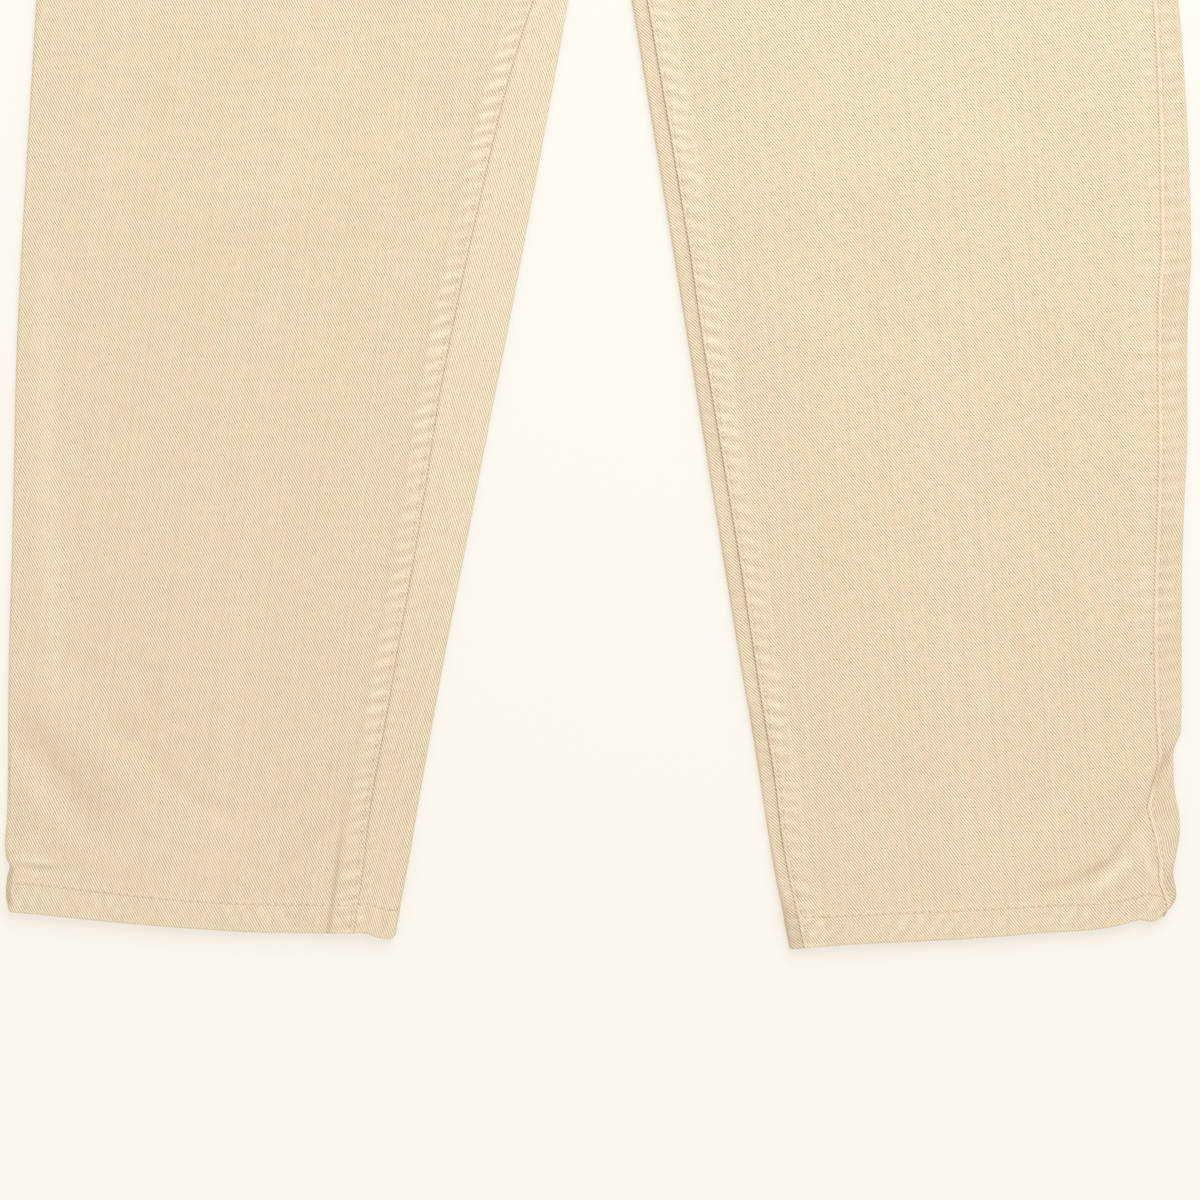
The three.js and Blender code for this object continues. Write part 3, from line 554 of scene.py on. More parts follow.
def cutPlaces(leg, lv, around, mirrored):
    # Where the cloth lies on the cut: across and along the warp, in metres, so that the wales run as cut
    # and turn over at each folded edge.
    side, warp = leg["side"], math.radians(leg["warp"])
    outer = np.concatenate([side * lv.outerX, lv.outerUp], axis=1)
    inner = np.concatenate([side * lv.innerX, lv.innerUp], axis=1)
    inward = unit(inner - outer)

    def edgeRun(edge, up, step=12.0):
        low, high = np.maximum(up - step, 0), up + step
        aside = side * (readTable(leg[edge], high) - readTable(leg[edge], low))
        return unit(np.concatenate([aside, high - low], axis=1))

    def on(start, way, distance):
        return start[:, None, :] + distance[..., None] * way[:, None, :]

    def past(start, run, away, distance):
        # on from a folded edge: the way across is turned over about the edge
        return on(start, 2 * np.sum(away * run, axis=1, keepdims=True) * run - away, distance)

    oq, iq, over = lv.outerQuarter, lv.innerQuarter, lv.over
    startAt = outer + inward * lv.outerRadius
    if mirrored:
        # notches in the fold are taken up underneath, so that the strip on top keeps its weave straight
        evenRun = edgeRun("outerEdge", lv.outerUp, 60.0)
        nearby = [readTable(leg["outerEdge"], np.abs(lv.outerUp + step)) for step in range(-54, 55, 18)]
        evenAt = np.mean(nearby, axis=0)
        aside = np.concatenate([side * (lv.outerX - evenAt), 0 * evenAt], axis=1)
        normal = np.stack([evenRun[:, 1], -evenRun[:, 0]], axis=1)
        aside = -2 * np.sum(aside * normal, axis=1, keepdims=True) * normal
        overOuter = past(startAt, evenRun, inward, around + oq) + aside[:, None, :]
        flat = on(startAt, inward, -around - oq)
        flat = flat + aside[:, None, :] * (1 - smooth(-around - oq, 0, 70))[..., None]
        farAt = startAt + inward * (over - iq - oq)
        overInner = past(farAt, edgeRun("innerEdge", lv.innerUp), -inward, -around - (over - iq))
        spot = np.where((around > -oq)[..., None], overOuter, flat)
        beyond = lv.inLeg & (-around > over - iq)
        spot = np.where(beyond[..., None], overInner, spot) * np.array([-1, 1])
        warp = math.pi - warp
    else:
        overOuter = past(startAt, edgeRun("outerEdge", lv.outerUp), inward, oq - around)
        spot = np.where((around < oq)[..., None], overOuter, on(startAt, inward, around - oq))
    along = np.array([math.cos(warp), math.sin(warp)])
    across = np.array([along[1], -along[0]])
    return np.stack([spot @ across, spot @ along], axis=-1) * mm


# rows of a panel: inside its hem, then up the leg by (from, to, step), about the fork and up the seat
rowsAt = {
    "inHem": (14.9, 10, 5, 2.4),
    "leg": ((2.2, 13, 1.5), (13.4, 19, 0.6), (19.8, 30, 1.4), (31, 600, 2.05)),
    "fork": (602, 606, 610, 614, 617, 620, 620.35, 623, 626), "seat": (630, 4)}


def panelRows(top):
    # from inside the turned hem, round its fold and up the outside: rise and depth
    rows = [(rise, hem["wall"]) for rise in rowsAt["inHem"]]
    for angle in np.radians(np.linspace(-90, 90, 9)):
        rows.append((hem["turn"] * (1 - math.cos(angle)), hem["turn"] * (1 - math.sin(angle))))
    seatFrom, seatStep = rowsAt["seat"]
    rises = [np.arange(*run) for run in rowsAt["leg"]]
    rises += [rowsAt["fork"], np.arange(seatFrom, top - 1, seatStep)]
    return np.array(rows + [(rise, 0) for rise in np.concatenate(rises)], float)


def seamLength(points):
    return np.concatenate([[0], np.cumsum(np.linalg.norm(np.diff(points, axis=0), axis=1))])


def deselect():
    bpy.ops.object.select_all(action="DESELECT")


def meshPiece(name, places, corners, starts, material):
    # corners names each face's places in turn, and starts says where each face begins in it
    mesh = bpy.data.meshes.new(name)
    mesh.vertices.add(len(places))
    mesh.vertices.foreach_set("co", places.astype(np.float32).ravel())
    mesh.loops.add(len(corners))
    mesh.loops.foreach_set("vertex_index", corners.astype(np.int32))
    mesh.polygons.add(len(starts))
    mesh.polygons.foreach_set("loop_start", starts.astype(np.int32))
    mesh.update(calc_edges=True)
    mesh.polygons.foreach_set("use_smooth", np.ones(len(starts), bool))
    mesh.materials.append(material)
    piece = bpy.data.objects.new(name, mesh)
    bpy.context.scene.collection.objects.link(piece)
    return piece


def clothMesh(name, points, maps, shades, material, flip=False, present=None, thickness=garment["cloth"]):
    # a sheet through a grid of places, given its maps and shades and then its thickness, inwards
    rows, columns = points.shape[:2]
    number = np.arange(rows * columns).reshape(rows, columns)
    quads = np.stack([number[:-1, :-1], number[:-1, 1:], number[1:, 1:], number[1:, :-1]], axis=-1)
    quads = quads.reshape(-1, 4) if present is None else quads[present]
    if flip:
        quads = quads[:, ::-1]
    used, corners = np.unique(quads.ravel(), return_inverse=True)
    piece = meshPiece(name, points.reshape(-1, 3)[used], corners, np.arange(0, quads.size, 4), material)
    for label, values in maps.items():
        layer = piece.data.uv_layers.new(name=label)
        layer.data.foreach_set("uv", values.reshape(-1, 2)[quads.ravel()].astype(np.float32).ravel())
    for label, values in shades.items():
        attribute = piece.data.attributes.new(label, "FLOAT", "POINT")
        attribute.data.foreach_set("value", values.reshape(-1)[used].astype(np.float32))
    deselect()
    piece.select_set(True)
    bpy.context.view_layer.objects.active = piece
    solid = piece.modifiers.new("thickness", "SOLIDIFY")
    solid.thickness = thickness * mm
    solid.offset = -1
    solid.use_even_offset = False
    bpy.ops.object.modifier_apply(modifier=solid.name)
    return piece


seamTables = {}  # for each panel, the rises of its rows and how far along its seam each one is


def sewnPanel(leg, name, lv, rows, around, looks, present, material):
    # what both panels of a leg have in common. Painted highlight pales the crests of puckers and ridges, and
    # wear the hem's fold; painted shade darkens the seams, the hollows between puckers and the creases.
    back, onTop = lv.dip is backDip, leg["side"] > 0
    inward, (out, above, ruffle) = rows[:, 1:], looks
    points = place(leg, lv, around, out * (1 - smooth(inward, 0, hem["wall"])) - inward)
    toStart, toEnd = edgeDistances(lv, around)
    along = seamLength(points[:, 0 if back else -1])
    outside = inward[:, 0] == 0
    seamTables[name] = rows[outside, 0], along[outside]
    fromRow = toStart - needle["outseamIn"] if back else toEnd - needle["inseamIn"]
    maps = {
        "cut": cutPlaces(leg, lv, around, back),
        "sewing": np.stack([fromRow * mm, along[:, None] + 0 * around], axis=-1),
        "hemming": np.stack([above + 0 * around, around], axis=-1) * mm}
    # creases and ridges on top take a little painted shade in their troughs and painted highlight on their
    # crests
    x, up = planOf(leg, lv, np.clip(around - lv.outerQuarter + lv.outerRadius, 0, lv.width))
    crests = ruffle + highlightAndWearLevels["crease"] * creaseRise(leg, x, up) * (around > 0)
    hemFold = highlightAndWearLevels["hemFold"] * bell(lv.rise, 1.6) * (inward < hem["turn"])
    rub = np.clip(highlightAndWearLevels["crest"] * np.clip(crests, 0, 0.4) + hemFold, 0, 1) + 0 * around
    # painted shade along the seam line, and in the hollows between puckers and creases
    seamShade = shadeAndDarkLevels["seam"] * bell(np.minimum(np.abs(toStart), np.abs(toEnd)), 0.4)
    soil = np.clip(seamShade + shadeAndDarkLevels["between"] * np.clip(-crests - 0.06, 0, 0.4), 0, 1) + 0 * above
    # outer strip: darker in patches; painted shade along the low outseam and in the hem's corner; painted
    # highlight on the pressed ridge
    if back and onTop:
        low = 1 - smooth(lv.rise, *shadeAndDarkLevels["outseamTo"])
        corner = (1 - smooth(lv.outerUp, *shadeAndDarkLevels["cornerTo"])) * smooth(toStart, 1, 3)
        soil = soil + shadeAndDarkLevels["outstrip"] * (1 + patches(around / 9, lv.rise / 21, 61))
        soil = soil + shadeAndDarkLevels["outseamLow"] * low * bell(toStart, 0.45) + shadeAndDarkLevels["corner"] * corner
        rub = rub + highlightAndWearLevels["ridge"] * bell(toStart - 1.5, 0.9)
    elif back:
        rub = rub + highlightAndWearLevels["instrip"] * smooth(lv.rise, *highlightAndWearLevels["instripFrom"])
    elif not onTop:
        # painted shade beside the allowance's edge near the hem, and on the folded edge below its notch,
        # where it rolls under
        soil = soil + besideAllowance(toEnd) * (1 - smooth(lv.rise, *shadeAndDarkLevels["allowanceTo"]))
        atEdge = 1 - smooth(np.abs(around), lv.outerQuarter, lv.outerQuarter + 1.6)
        fromUp, fullUp, lastUp, toUp = shadeAndDarkLevels["hemEdgeAt"]
        below = smooth(lv.outerUp, fromUp, fullUp) * (1 - smooth(lv.outerUp, lastUp, toUp))
        soil = soil + shadeAndDarkLevels["hemEdge"] * atEdge * below
    return clothMesh(name, points, maps, {"rub": rub, "soil": soil}, material, back != onTop, present)


def frontPanel(leg, name, material):
    scoopRows = garment["waistSeamUp"] - scoop["deep"] * np.cos(np.linspace(0, np.pi / 2, 20))
    rows = np.concatenate([panelRows(scoopFootUp), np.stack([scoopRows, 0 * scoopRows], axis=1)])
    lv = frontForm(leg, rows[:, 0])
    if leg["side"] > 0:
        start = np.where(lv.inScoop, lv.mouth, lv.start)
        around = columnsBetween(start, lv.end, seamSteps[:14], seamSteps, 44)
        foldColumns = 0
    else:
        lead = columnsBetween(lv.start, -lv.outerQuarter, plainSteps[:5], [0], 2)
        fold = lv.outerQuarter * np.linspace(-1, 1, 10)[1:-1]
        rest = columnsBetween(lv.mouth, lv.end, [0, 0.15, 0.4, 0.75, 1.4, 2.8, 4.6], seamSteps, 46)
        around = np.concatenate([lead, fold, rest], axis=1)
        foldColumns = lead.shape[1] + fold.shape[1]
    present = np.ones((len(rows) - 1, around.shape[1] - 1), bool)
    present[lv.inScoop[:-1, 0], :foldColumns] = False
    return sewnPanel(leg, name, lv, rows, around, frontOut(leg, lv, around), present, material)


def backPanel(leg, name, material):
    onTop = leg["side"] > 0
    rows = np.append(panelRows(yoke["sideUp"]), [[yoke["sideUp"], 0]], axis=0)
    lv = backForm(leg, rows[:, 0])
    iq, over, underFrom, parts = lv.innerQuarter, lv.over, lv.start, []
    if onTop:
        bend = np.minimum(lv.outerQuarter, 0.6 * lv.start)
        parts.append(columnsBetween(lv.start, bend, seamSteps, [0], 1))
        parts.append(mix(bend, -lv.outerQuarter, np.linspace(0, 1, 12)[1:-1]))
        underFrom = -lv.outerQuarter
    parts.append(columnsBetween(underFrom, np.where(lv.inLeg, iq - over, -over),
                                [0, 2, 4] if onTop else plainSteps, plainSteps, 26))
    underColumns = sum(part.shape[1] for part in parts) - 1
    # above the fork the strip's columns close up at the centre seam, and their faces are left out
    foldShare = np.linspace(-1, 1, 11)[1:]
    parts.append(np.where(lv.inLeg, -(over + iq * foldShare), -over - 0.001 * (foldShare + 1)))
    parts.append(columnsBetween(np.where(lv.inLeg, -(over + iq), -over - 0.003),
                                np.where(lv.inLeg, lv.end, -over - 0.01), [0.8, 1.6, 2.6], seamSteps, 5))
    around = np.concatenate(parts, axis=1)
    present = np.ones((len(rows) - 1, around.shape[1] - 1), bool)
    present[~lv.inLeg[1:, 0], underColumns:] = False
    return sewnPanel(leg, name, lv, rows, around, backOut(leg, lv, around), present, material)


# Sewing: each stitch is a short thread that dips into the cloth at both ends.
thread = {"radius": 0.24, "sides": 6, "slack": 0.13}
threadForm = [  # share of the stitch's length, height in mm, thickness as a share of the radius
    (0, -0.28, 0.55), (0.14, 0.1, 1), (0.5, 0.16, 1.08), (0.86, 0.1, 1), (1, -0.28, 0.55)]


def threadPiece(name, runs, material):
    starts, ends, normals = (np.concatenate([run[k] for run in runs]) for k in range(3))
    way = unit(ends - starts)
    aside = unit(np.cross(way, normals))
    upward = np.cross(aside, way)
    rings = []
    for share, height, size in threadForm:
        middle = mix(starts, ends, share) + upward * height * mm
        for angle in np.linspace(0, 2 * np.pi, thread["sides"], endpoint=False):
            outward = math.cos(angle) * aside + math.sin(angle) * upward
            rings.append(middle + size * thread["radius"] * mm * outward)
    points = np.stack(rings, axis=1)
    count, perStitch, sides = len(points), points.shape[1], thread["sides"]
    base = (np.arange(count) * perStitch)[:, None, None]
    ring = (np.arange(len(threadForm) - 1) * sides)[:, None]
    side = np.arange(sides)
    following = (side + 1) % sides
    quads = np.stack([base + ring + side, base + ring + sides + side, base + ring + sides + following,
                      base + ring + following], axis=-1)
    caps = np.concatenate([base[:, 0] + side, base[:, 0] + perStitch - sides + side[::-1]])
    corners = np.concatenate([quads.ravel(), caps.ravel()])
    faces = np.concatenate([np.arange(0, quads.size, 4), quads.size + np.arange(0, caps.size, sides)])
    return meshPiece(name, points.reshape(-1, 3), corners, faces, material)


def sewOn(surface, leg, rises, arounds):
    # stitches from one (rise, around) place to the next on a panel: rises and arounds hold two columns
    starts, ends = (surface(leg, rises[:, k], arounds[:, k]) for k in range(2))
    rise, around = rises.mean(axis=1), arounds.mean(axis=1)
    step = 0.6
    acrossWay = surface(leg, rise, around + step) - surface(leg, rise, around - step)
    upWay = surface(leg, rise + step, around) - surface(leg, np.maximum(rise - step, 0), around)
    return starts, ends, unit(np.cross(acrossWay, upWay) * -leg["side"])


def stitchEnds(first, last):
    # where each stitch starts and ends, in stitches
    k = np.arange(first, last)
    return np.stack([k + thread["slack"], k + 1 - thread["slack"]], axis=1)


def sewSeam(surface, leg, name, seam, inside, toUp):
    # a row beside a seam, at whole numbers of stitches along it
    rises, along = seamTables[name]
    pitch = needle["seamPitch"] * mm
    first, last = np.interp([1.5, toUp], rises, along)
    ends = np.interp(stitchEnds(math.ceil(first / pitch), math.floor(last / pitch)) * pitch, along, rises)
    beside = [(getattr(levelsOf(leg, ends[:, k]), seam) - inside)[:, 0] for k in range(2)]
    return sewOn(surface, leg, ends, np.stack(beside, axis=1))


def sewPath(surface, leg, rises, arounds):
    # a row of topstitching along any line on a panel, given by close places
    along = seamLength(surface(leg, rises, arounds))
    count = int(along[-1] / (needle["topPitch"] * mm))
    ends = stitchEnds(0, count) * along[-1] / count
    return sewOn(surface, leg, np.interp(ends, along, rises), np.interp(ends, along, arounds))


def sewLine(places, normal):
    # a row of topstitching along a line of frame places on a piece that faces one way
    along = seamLength(places)
    count = max(int(along[-1] / (needle["topPitch"] * mm)), 1)
    at = stitchEnds(0, count) * along[-1] / count
    ends = np.stack([np.interp(at, along, places[:, axis]) for axis in range(3)], axis=-1)
    return ends[:, 0], ends[:, 1], np.tile(np.array(normal, float), (count, 1))


def barTack(middle, way, normal, length=9.0, deep=1.9, count=15):
    # a close row of short stitches across a line
    way, normal = unit(np.array(way, float)), np.array(normal, float)
    aside = np.cross(normal, way) * deep * mm / 2
    at = column(np.linspace(-0.5, 0.5, count) * length * mm)
    lean = 0.25 * mm * way
    return middle + at * way - aside - lean, middle + at * way + aside + lean, np.tile(normal, (count, 1))


# Finishes: shared node groups give masks and heights, and each material keeps its own shader.
class Value:
    # a shader value that can be reckoned with like a number
    def __init__(self, tree, socket):
        self.tree, self.socket = tree, socket

    def __add__(self, other):
        return calc("ADD", self, other)

    def __sub__(self, other):
        return calc("SUBTRACT", self, other)

    def __mul__(self, other):
        return calc("MULTIPLY", self, other)

    def __truediv__(self, other):
        return calc("DIVIDE", self, other)


def feed(tree, value, socket):
    if isinstance(value, Value):
        tree.links.new(value.socket, socket)
    else:
        socket.default_value = value


def addNode(tree, kind, inputs=None, **settings):
    # a shader node with its settings and inputs, handed back as its outputs by name
    node = tree.nodes.new("ShaderNode" + kind)
    for setting, value in settings.items():
        setattr(node, setting, value)
    for key, value in (inputs or {}).items():
        feed(tree, value, node.inputs[key])
    return {socket.name: Value(tree, socket) for socket in node.outputs if socket.enabled}


def calc(operation, *values, clamp=False):
    tree = next(value.tree for value in values if isinstance(value, Value))
    return addNode(tree, "Math", dict(enumerate(values)), operation=operation, use_clamp=clamp)["Value"]


def ramp(value, low, high, first=0.0, last=1.0):
    inputs = {"Value": value, "From Min": low, "From Max": high, "To Min": first, "To Max": last}
    return addNode(value.tree, "MapRange", inputs, interpolation_type="SMOOTHSTEP")["Result"]


def noise(vector, scale, detail=2.0, roughness=0.5):
    inputs = {"Vector": vector, "Scale": scale, "Detail": detail, "Roughness": roughness}
    return addNode(vector.tree, "TexNoise", inputs)["Fac"]


def blendColours(share, a, b, kind="MIX"):
    tree = next(value.tree for value in (share, a) if isinstance(value, Value))
    inputs = {"Factor": share, "A": a, "B": b}
    return addNode(tree, "Mix", inputs, data_type="RGBA", blend_type=kind)["Result"]


def partsOf(vector):
    return addNode(vector.tree, "SeparateXYZ", {0: vector})


def makeGroup(name, inputs, outputs):
    # inputs hold their defaults: one number for a value, and three or None for a vector
    group = bpy.data.node_groups.new(name, "ShaderNodeTree")
    for label, value in inputs.items():
        kind = "NodeSocketFloat" if isinstance(value, float) else "NodeSocketVector"
        socket = group.interface.new_socket(name=label, in_out="INPUT", socket_type=kind)
        if value is not None:
            socket.default_value = value
    for label in outputs:
        group.interface.new_socket(name=label, in_out="OUTPUT", socket_type="NodeSocketFloat")
    given, out = group.nodes.new("NodeGroupInput"), group.nodes.new("NodeGroupOutput")

    def give(values):
        for label, value in values.items():
            feed(group, value, out.inputs[label])
        return group
    return [Value(group, given.outputs[label]) for label in inputs], give


def makeWeave():
    # Twill of three over and one under: each warp yarn dips one pick further up than the last, so the
    # wales lean to the left of the warp. Vector is across and along the warp in metres.
    (vector, warpPitch, weftPitch, drift), give = makeGroup(
        "twillWeave", {"Vector": None, "Warp Pitch": 0.0004, "Weft Pitch": 0.00056, "Drift": 0.5},
        ("Height", "Wale", "Yarn", "Slub"))
    axes = partsOf(vector)
    wander = ((noise(vector, 60.0, 1.0) - 0.5) * 3.0 + (noise(vector, 420.0, 1.0) - 0.5)) * drift
    warpCount = axes["X"] / warpPitch + wander
    pickCount = axes["Y"] / weftPitch + wander
    yarn = calc("FLOOR", warpCount)
    inYarn = (warpCount - yarn) * 2.0 - 1.0
    roundness = calc("SQRT", calc("SUBTRACT", 1.0, inYarn * inYarn), clamp=True)
    phase = calc("FRACT", (pickCount + yarn) * 0.25)
    floating = calc("SINE", ramp(phase, 0.25, 1.0) * math.pi)
    warpHeight = calc("POWER", calc("MAXIMUM", floating, 0.0), 0.45) * roundness
    weftHeight = calc("SINE", calc("MINIMUM", phase, 0.25) * (4 * math.pi)) * 0.32
    along = addNode(vector.tree, "CombineXYZ", {"X": yarn * 0.37, "Y": axes["Y"] * 160.0})["Vector"]
    return give({
        "Height": calc("MAXIMUM", warpHeight, weftHeight),
        "Wale": calc("COSINE", (phase - 0.625) * (2 * math.pi)) * 0.5 + 0.5,
        "Yarn": addNode(vector.tree, "TexWhiteNoise", {"W": yarn}, noise_dimensions="1D")["Value"],
        "Slub": noise(along, 1.0, 1.0)})


def makeNeedleRow():
    # small dark holes in a row, each so many times as long as wide: Vector is across the row and along it
    (vector, pitch, size, long), give = makeGroup(
        "needleRow", {"Vector": None, "Pitch": 0.004, "Size": 0.0005, "Long": 1.0}, ("Mask",))
    axes = partsOf(vector)
    along = (calc("FRACT", axes["Y"] / pitch + 0.5) - 0.5) * pitch / long
    away = calc("SQRT", axes["X"] * axes["X"] + along * along)
    return give({"Mask": ramp(away, size * 0.4, size, 1.0, 0.0)})


def makeFlecks():
    # sparse specks of seed and lint: one cell in so many holds one
    (vector, spacing, size, share), give = makeGroup(
        "flecks", {"Vector": None, "Spacing": 0.01, "Size": 0.04, "Share": 0.1}, ("Mask",))
    cells = addNode(vector.tree, "TexVoronoi", {"Vector": vector, "Scale": calc("DIVIDE", 1.0, spacing)},
                    voronoi_dimensions="2D")
    chosen = addNode(vector.tree, "SeparateColor", {0: cells["Color"]})
    size = size * (chosen["Green"] + 0.5)
    spot = ramp(cells["Distance"], size * 0.5, size, 1.0, 0.0)
    return give({"Mask": spot * calc("LESS_THAN", chosen["Red"], share)})


def makeSpot():
    # one soft round mark at a place
    (vector, centre, radius, softness), give = makeGroup(
        "softSpot", {"Vector": None, "Centre": (0, 0, 0), "Radius": 0.001, "Softness": 0.5}, ("Mask",))
    away = addNode(vector.tree, "VectorMath", {0: vector, 1: centre}, operation="DISTANCE")["Value"]
    inner = radius * calc("SUBTRACT", 1.0, softness)
    return give({"Mask": ramp(away, inner, radius, 1.0, 0.0)})


weaveGroup, needleGroup, fleckGroup, spotGroup = makeWeave(), makeNeedleRow(), makeFlecks(), makeSpot()


def maskOf(group, vector, **inputs):
    return addNode(vector.tree, "Group", {"Vector": vector, **inputs}, node_tree=group)["Mask"]


def newMaterial(name):
    material = bpy.data.materials.new(name)
    material.use_nodes = True
    return material, material.node_tree


def placeOf(tree):
    return addNode(tree, "TexCoord")["Object"]


def setShader(tree, inputs, height=None, bump=0.0):
    # the principled shader's inputs, and the relief on it in metres
    shader = tree.nodes["Principled BSDF"]
    if height:
        bumped = {"Height": height, "Distance": bump, "Strength": 1.0}
        inputs["Normal"] = addNode(tree, "Bump", bumped)["Normal"]
    for label, value in inputs.items():
        feed(tree, value, shader.inputs[label])


# the weave's colour, the painted shade of its hollows, the pale colour of painted highlight and wear, a warm
# tone, and the dark colour of painted shade, needle holes, marks and flecks
twill = {
    "colour": (0.892, 0.797, 0.606, 1), "hollowShade": (0.465, 0.326, 0.185, 1), "worn": (0.935, 0.82, 0.63, 1),
    "warm": (0.88, 0.64, 0.46, 1), "dirt": (0.22, 0.13, 0.065, 1), "warmShare": 0.05, "highlightAndWearShare": 0.55,
    "shadeAndDarkShare": 0.24, "holeShare": 0.23, "fleckShare": 0.12, "heightShare": 0.38, "waleShare": 0.62,
    "warpPitch": 0.000394, "weftPitch": 0.000563, "drift": 0.4, "yarnShare": 0.09, "slubShare": 0.15,
    "clouds": ((150.0, 3.0, 0.6, 0.16), (16.0, 2.0, 0.5, 0.05)), "bump": 0.0002, "roughness": (0.97, 0.88),
    "sheen": 0.12, "fleck": {"Spacing": 0.011, "Size": 0.045, "Share": 0.16}}
# needle holes by their map: the pitch of the row, the size of a hole and how many times as long as wide it is
holeRows = {"sewing": (needle["seamPitch"], 0.0007, 1.2), "hemming": (needle["hemPitch"], 0.0008, 1.9)}
# small dark specks and one soft round mark: x and up on the garment, radius, softness and depth
marks = [
    (-197.6, 205.2, 0.75, 0.5, 0.55), (-197.2, 203.9, 0.55, 0.5, 0.4), (303.3, 162.8, 0.8, 0.5, 0.75),
    (-325.0, 99.6, 0.8, 0.5, 0.45), (-260.5, 122.0, 10.5, 0.35, 0.045), (-262.0, 121.0, 7.0, 0.6, 0.03)]
markZ = 3.0


def twillMaterial(name, tint=None, sewn=False):
    material, tree = newMaterial(name)

    def placeOn(label):
        return addNode(tree, "UVMap", uv_map=label)["UV"]

    def shadeOf(label):
        return addNode(tree, "Attribute", attribute_name=label)["Fac"]

    cut = placeOn("cut")
    weave = addNode(tree, "Group", {
        "Vector": cut, "Warp Pitch": twill["warpPitch"], "Weft Pitch": twill["weftPitch"],
        "Drift": twill["drift"]}, node_tree=weaveGroup)
    lift = weave["Height"] * twill["heightShare"] + weave["Wale"] * twill["waleShare"]
    shade = lift + (weave["Yarn"] - 0.5) * twill["yarnShare"] + (weave["Slub"] - 0.5) * twill["slubShare"]
    for scale, detail, roughness, share in twill["clouds"]:
        shade = shade + (noise(cut, scale, detail, roughness) - 0.5) * share
    # painted shade: the weave darkens towards its hollows
    colour = blendColours(calc("MAXIMUM", shade, 0.0), twill["hollowShade"], twill["colour"])
    # paler with painted highlight and wear where the cloth is marked so
    colour = blendColours(shadeOf("rub") * twill["highlightAndWearShare"], colour, twill["worn"])
    colour = blendColours(ramp(noise(cut, 40.0, 3.0), 0.35, 0.65) * twill["warmShare"], colour, twill["warm"])
    # darker with painted shade where the cloth is marked so, and at needle holes, marks and flecks
    dark = shadeOf("soil") * twill["shadeAndDarkShare"]
    if sewn:
        for label, (pitch, size, long) in holeRows.items():
            holes = maskOf(needleGroup, placeOn(label), Pitch=pitch * mm, Size=size, Long=long)
            dark = calc("MAXIMUM", dark, holes * twill["holeShare"])
        for x, up, radius, softness, depth in marks:
            centre = (x * mm + centreX, up * mm + lowY, markZ * mm)
            spot = maskOf(spotGroup, placeOf(tree), Centre=centre, Radius=radius * mm, Softness=softness)
            dark = calc("MAXIMUM", dark, spot * depth)
    flecks = maskOf(fleckGroup, cut, **twill["fleck"])
    dark = calc("MAXIMUM", dark, flecks * twill["fleckShare"], clamp=True)
    colour = blendColours(dark, colour, twill["dirt"])
    if tint:
        colour = blendColours(1.0, colour, tint, "MULTIPLY")
    setShader(tree, {
        "Base Color": colour, "Roughness": ramp(weave["Height"], 0.0, 1.0, *twill["roughness"]),
        "Specular IOR Level": 0.25, "Sheen Weight": twill["sheen"], "Sheen Roughness": 0.5,
        "Sheen Tint": (1.0, 0.95, 0.86, 1)}, lift, twill["bump"])
    return material


# the plainer finishes: their noise, two colours, roughness and relief, each between its lowest and highest
threadLook = {
    "noise": (2600.0, 2.0, 0.5), "between": (0.3, 0.7),
    "colours": ((0.60, 0.47, 0.30, 1), (0.84, 0.70, 0.50, 1)),
    "roughness": (0.2, 0.8, 0.7, 0.85), "bump": 0.00006, "more": {"Specular IOR Level": 0.3}}
nickelLook = {
    "noise": (900.0, 4.0, 0.6), "between": (0.35, 0.75),
    "colours": ((0.56, 0.52, 0.45, 1), (0.3472, 0.3224, 0.279, 1)),
    "roughness": (0.3, 0.75, 0.28, 0.5), "bump": 0.00003, "more": {"Metallic": 1.0}}


def unevenMaterial(name, look):
    material, tree = newMaterial(name)
    uneven = noise(placeOf(tree), *look["noise"])
    colour = blendColours(ramp(uneven, *look["between"]), *look["colours"])
    setShader(tree, {"Base Color": colour, "Roughness": ramp(uneven, *look["roughness"]), **look["more"]},
              uneven, look["bump"])
    return material


clothFinish = twillMaterial("sandTwill", sewn=True)
plainFinish = twillMaterial("sandTwillPlain")
facingFinish = twillMaterial("facingTwill", tint=(0.97, 0.965, 0.955, 1))
threadFinish = unevenMaterial("sewingThread", threadLook)
nickel = unevenMaterial("dullNickel", nickelLook)
print("finishes:", len(bpy.data.materials), "materials,", len(bpy.data.node_groups), "groups")


def settle(piece, node, flat=None, share=1.0, restsOn=("floor",)):
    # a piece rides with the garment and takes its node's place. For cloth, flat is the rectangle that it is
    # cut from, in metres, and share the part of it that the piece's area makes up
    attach(piece, "root")
    if node:
        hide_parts(node)
    if flat:
        list(restsOn)
        share * flat[0] * flat[1]


frontCut, backCut = ((0.305, 0.940), 0.80), ((0.370, 0.910), 0.74)
panels = [
    (frontPanel(rightLeg, "frontRight", clothFinish), "front_right", frontCut, ["floor", "backRight"]),
    (frontPanel(leftLeg, "frontLeft", clothFinish), "front_left", frontCut, ["backLeft"]),
    (backPanel(rightLeg, "backRight", clothFinish), "back_right", backCut, ["floor"]),
    (backPanel(leftLeg, "backLeft", clothFinish), "back_left", backCut, ["floor"])]
for panel, node, (flat, share), restsOn in panels:
    settle(panel, node, flat, share, restsOn)
print("panels:", [len(panel[0].data.polygons) for panel in panels])


# Above the legs: yokes, pocket facings, back pockets, the waistband and its loops.
def plainShades(nearest):
    # painted shade along the edges and seams, and no highlight
    return {"rub": 0 * nearest, "soil": bell(nearest, 0.5)}


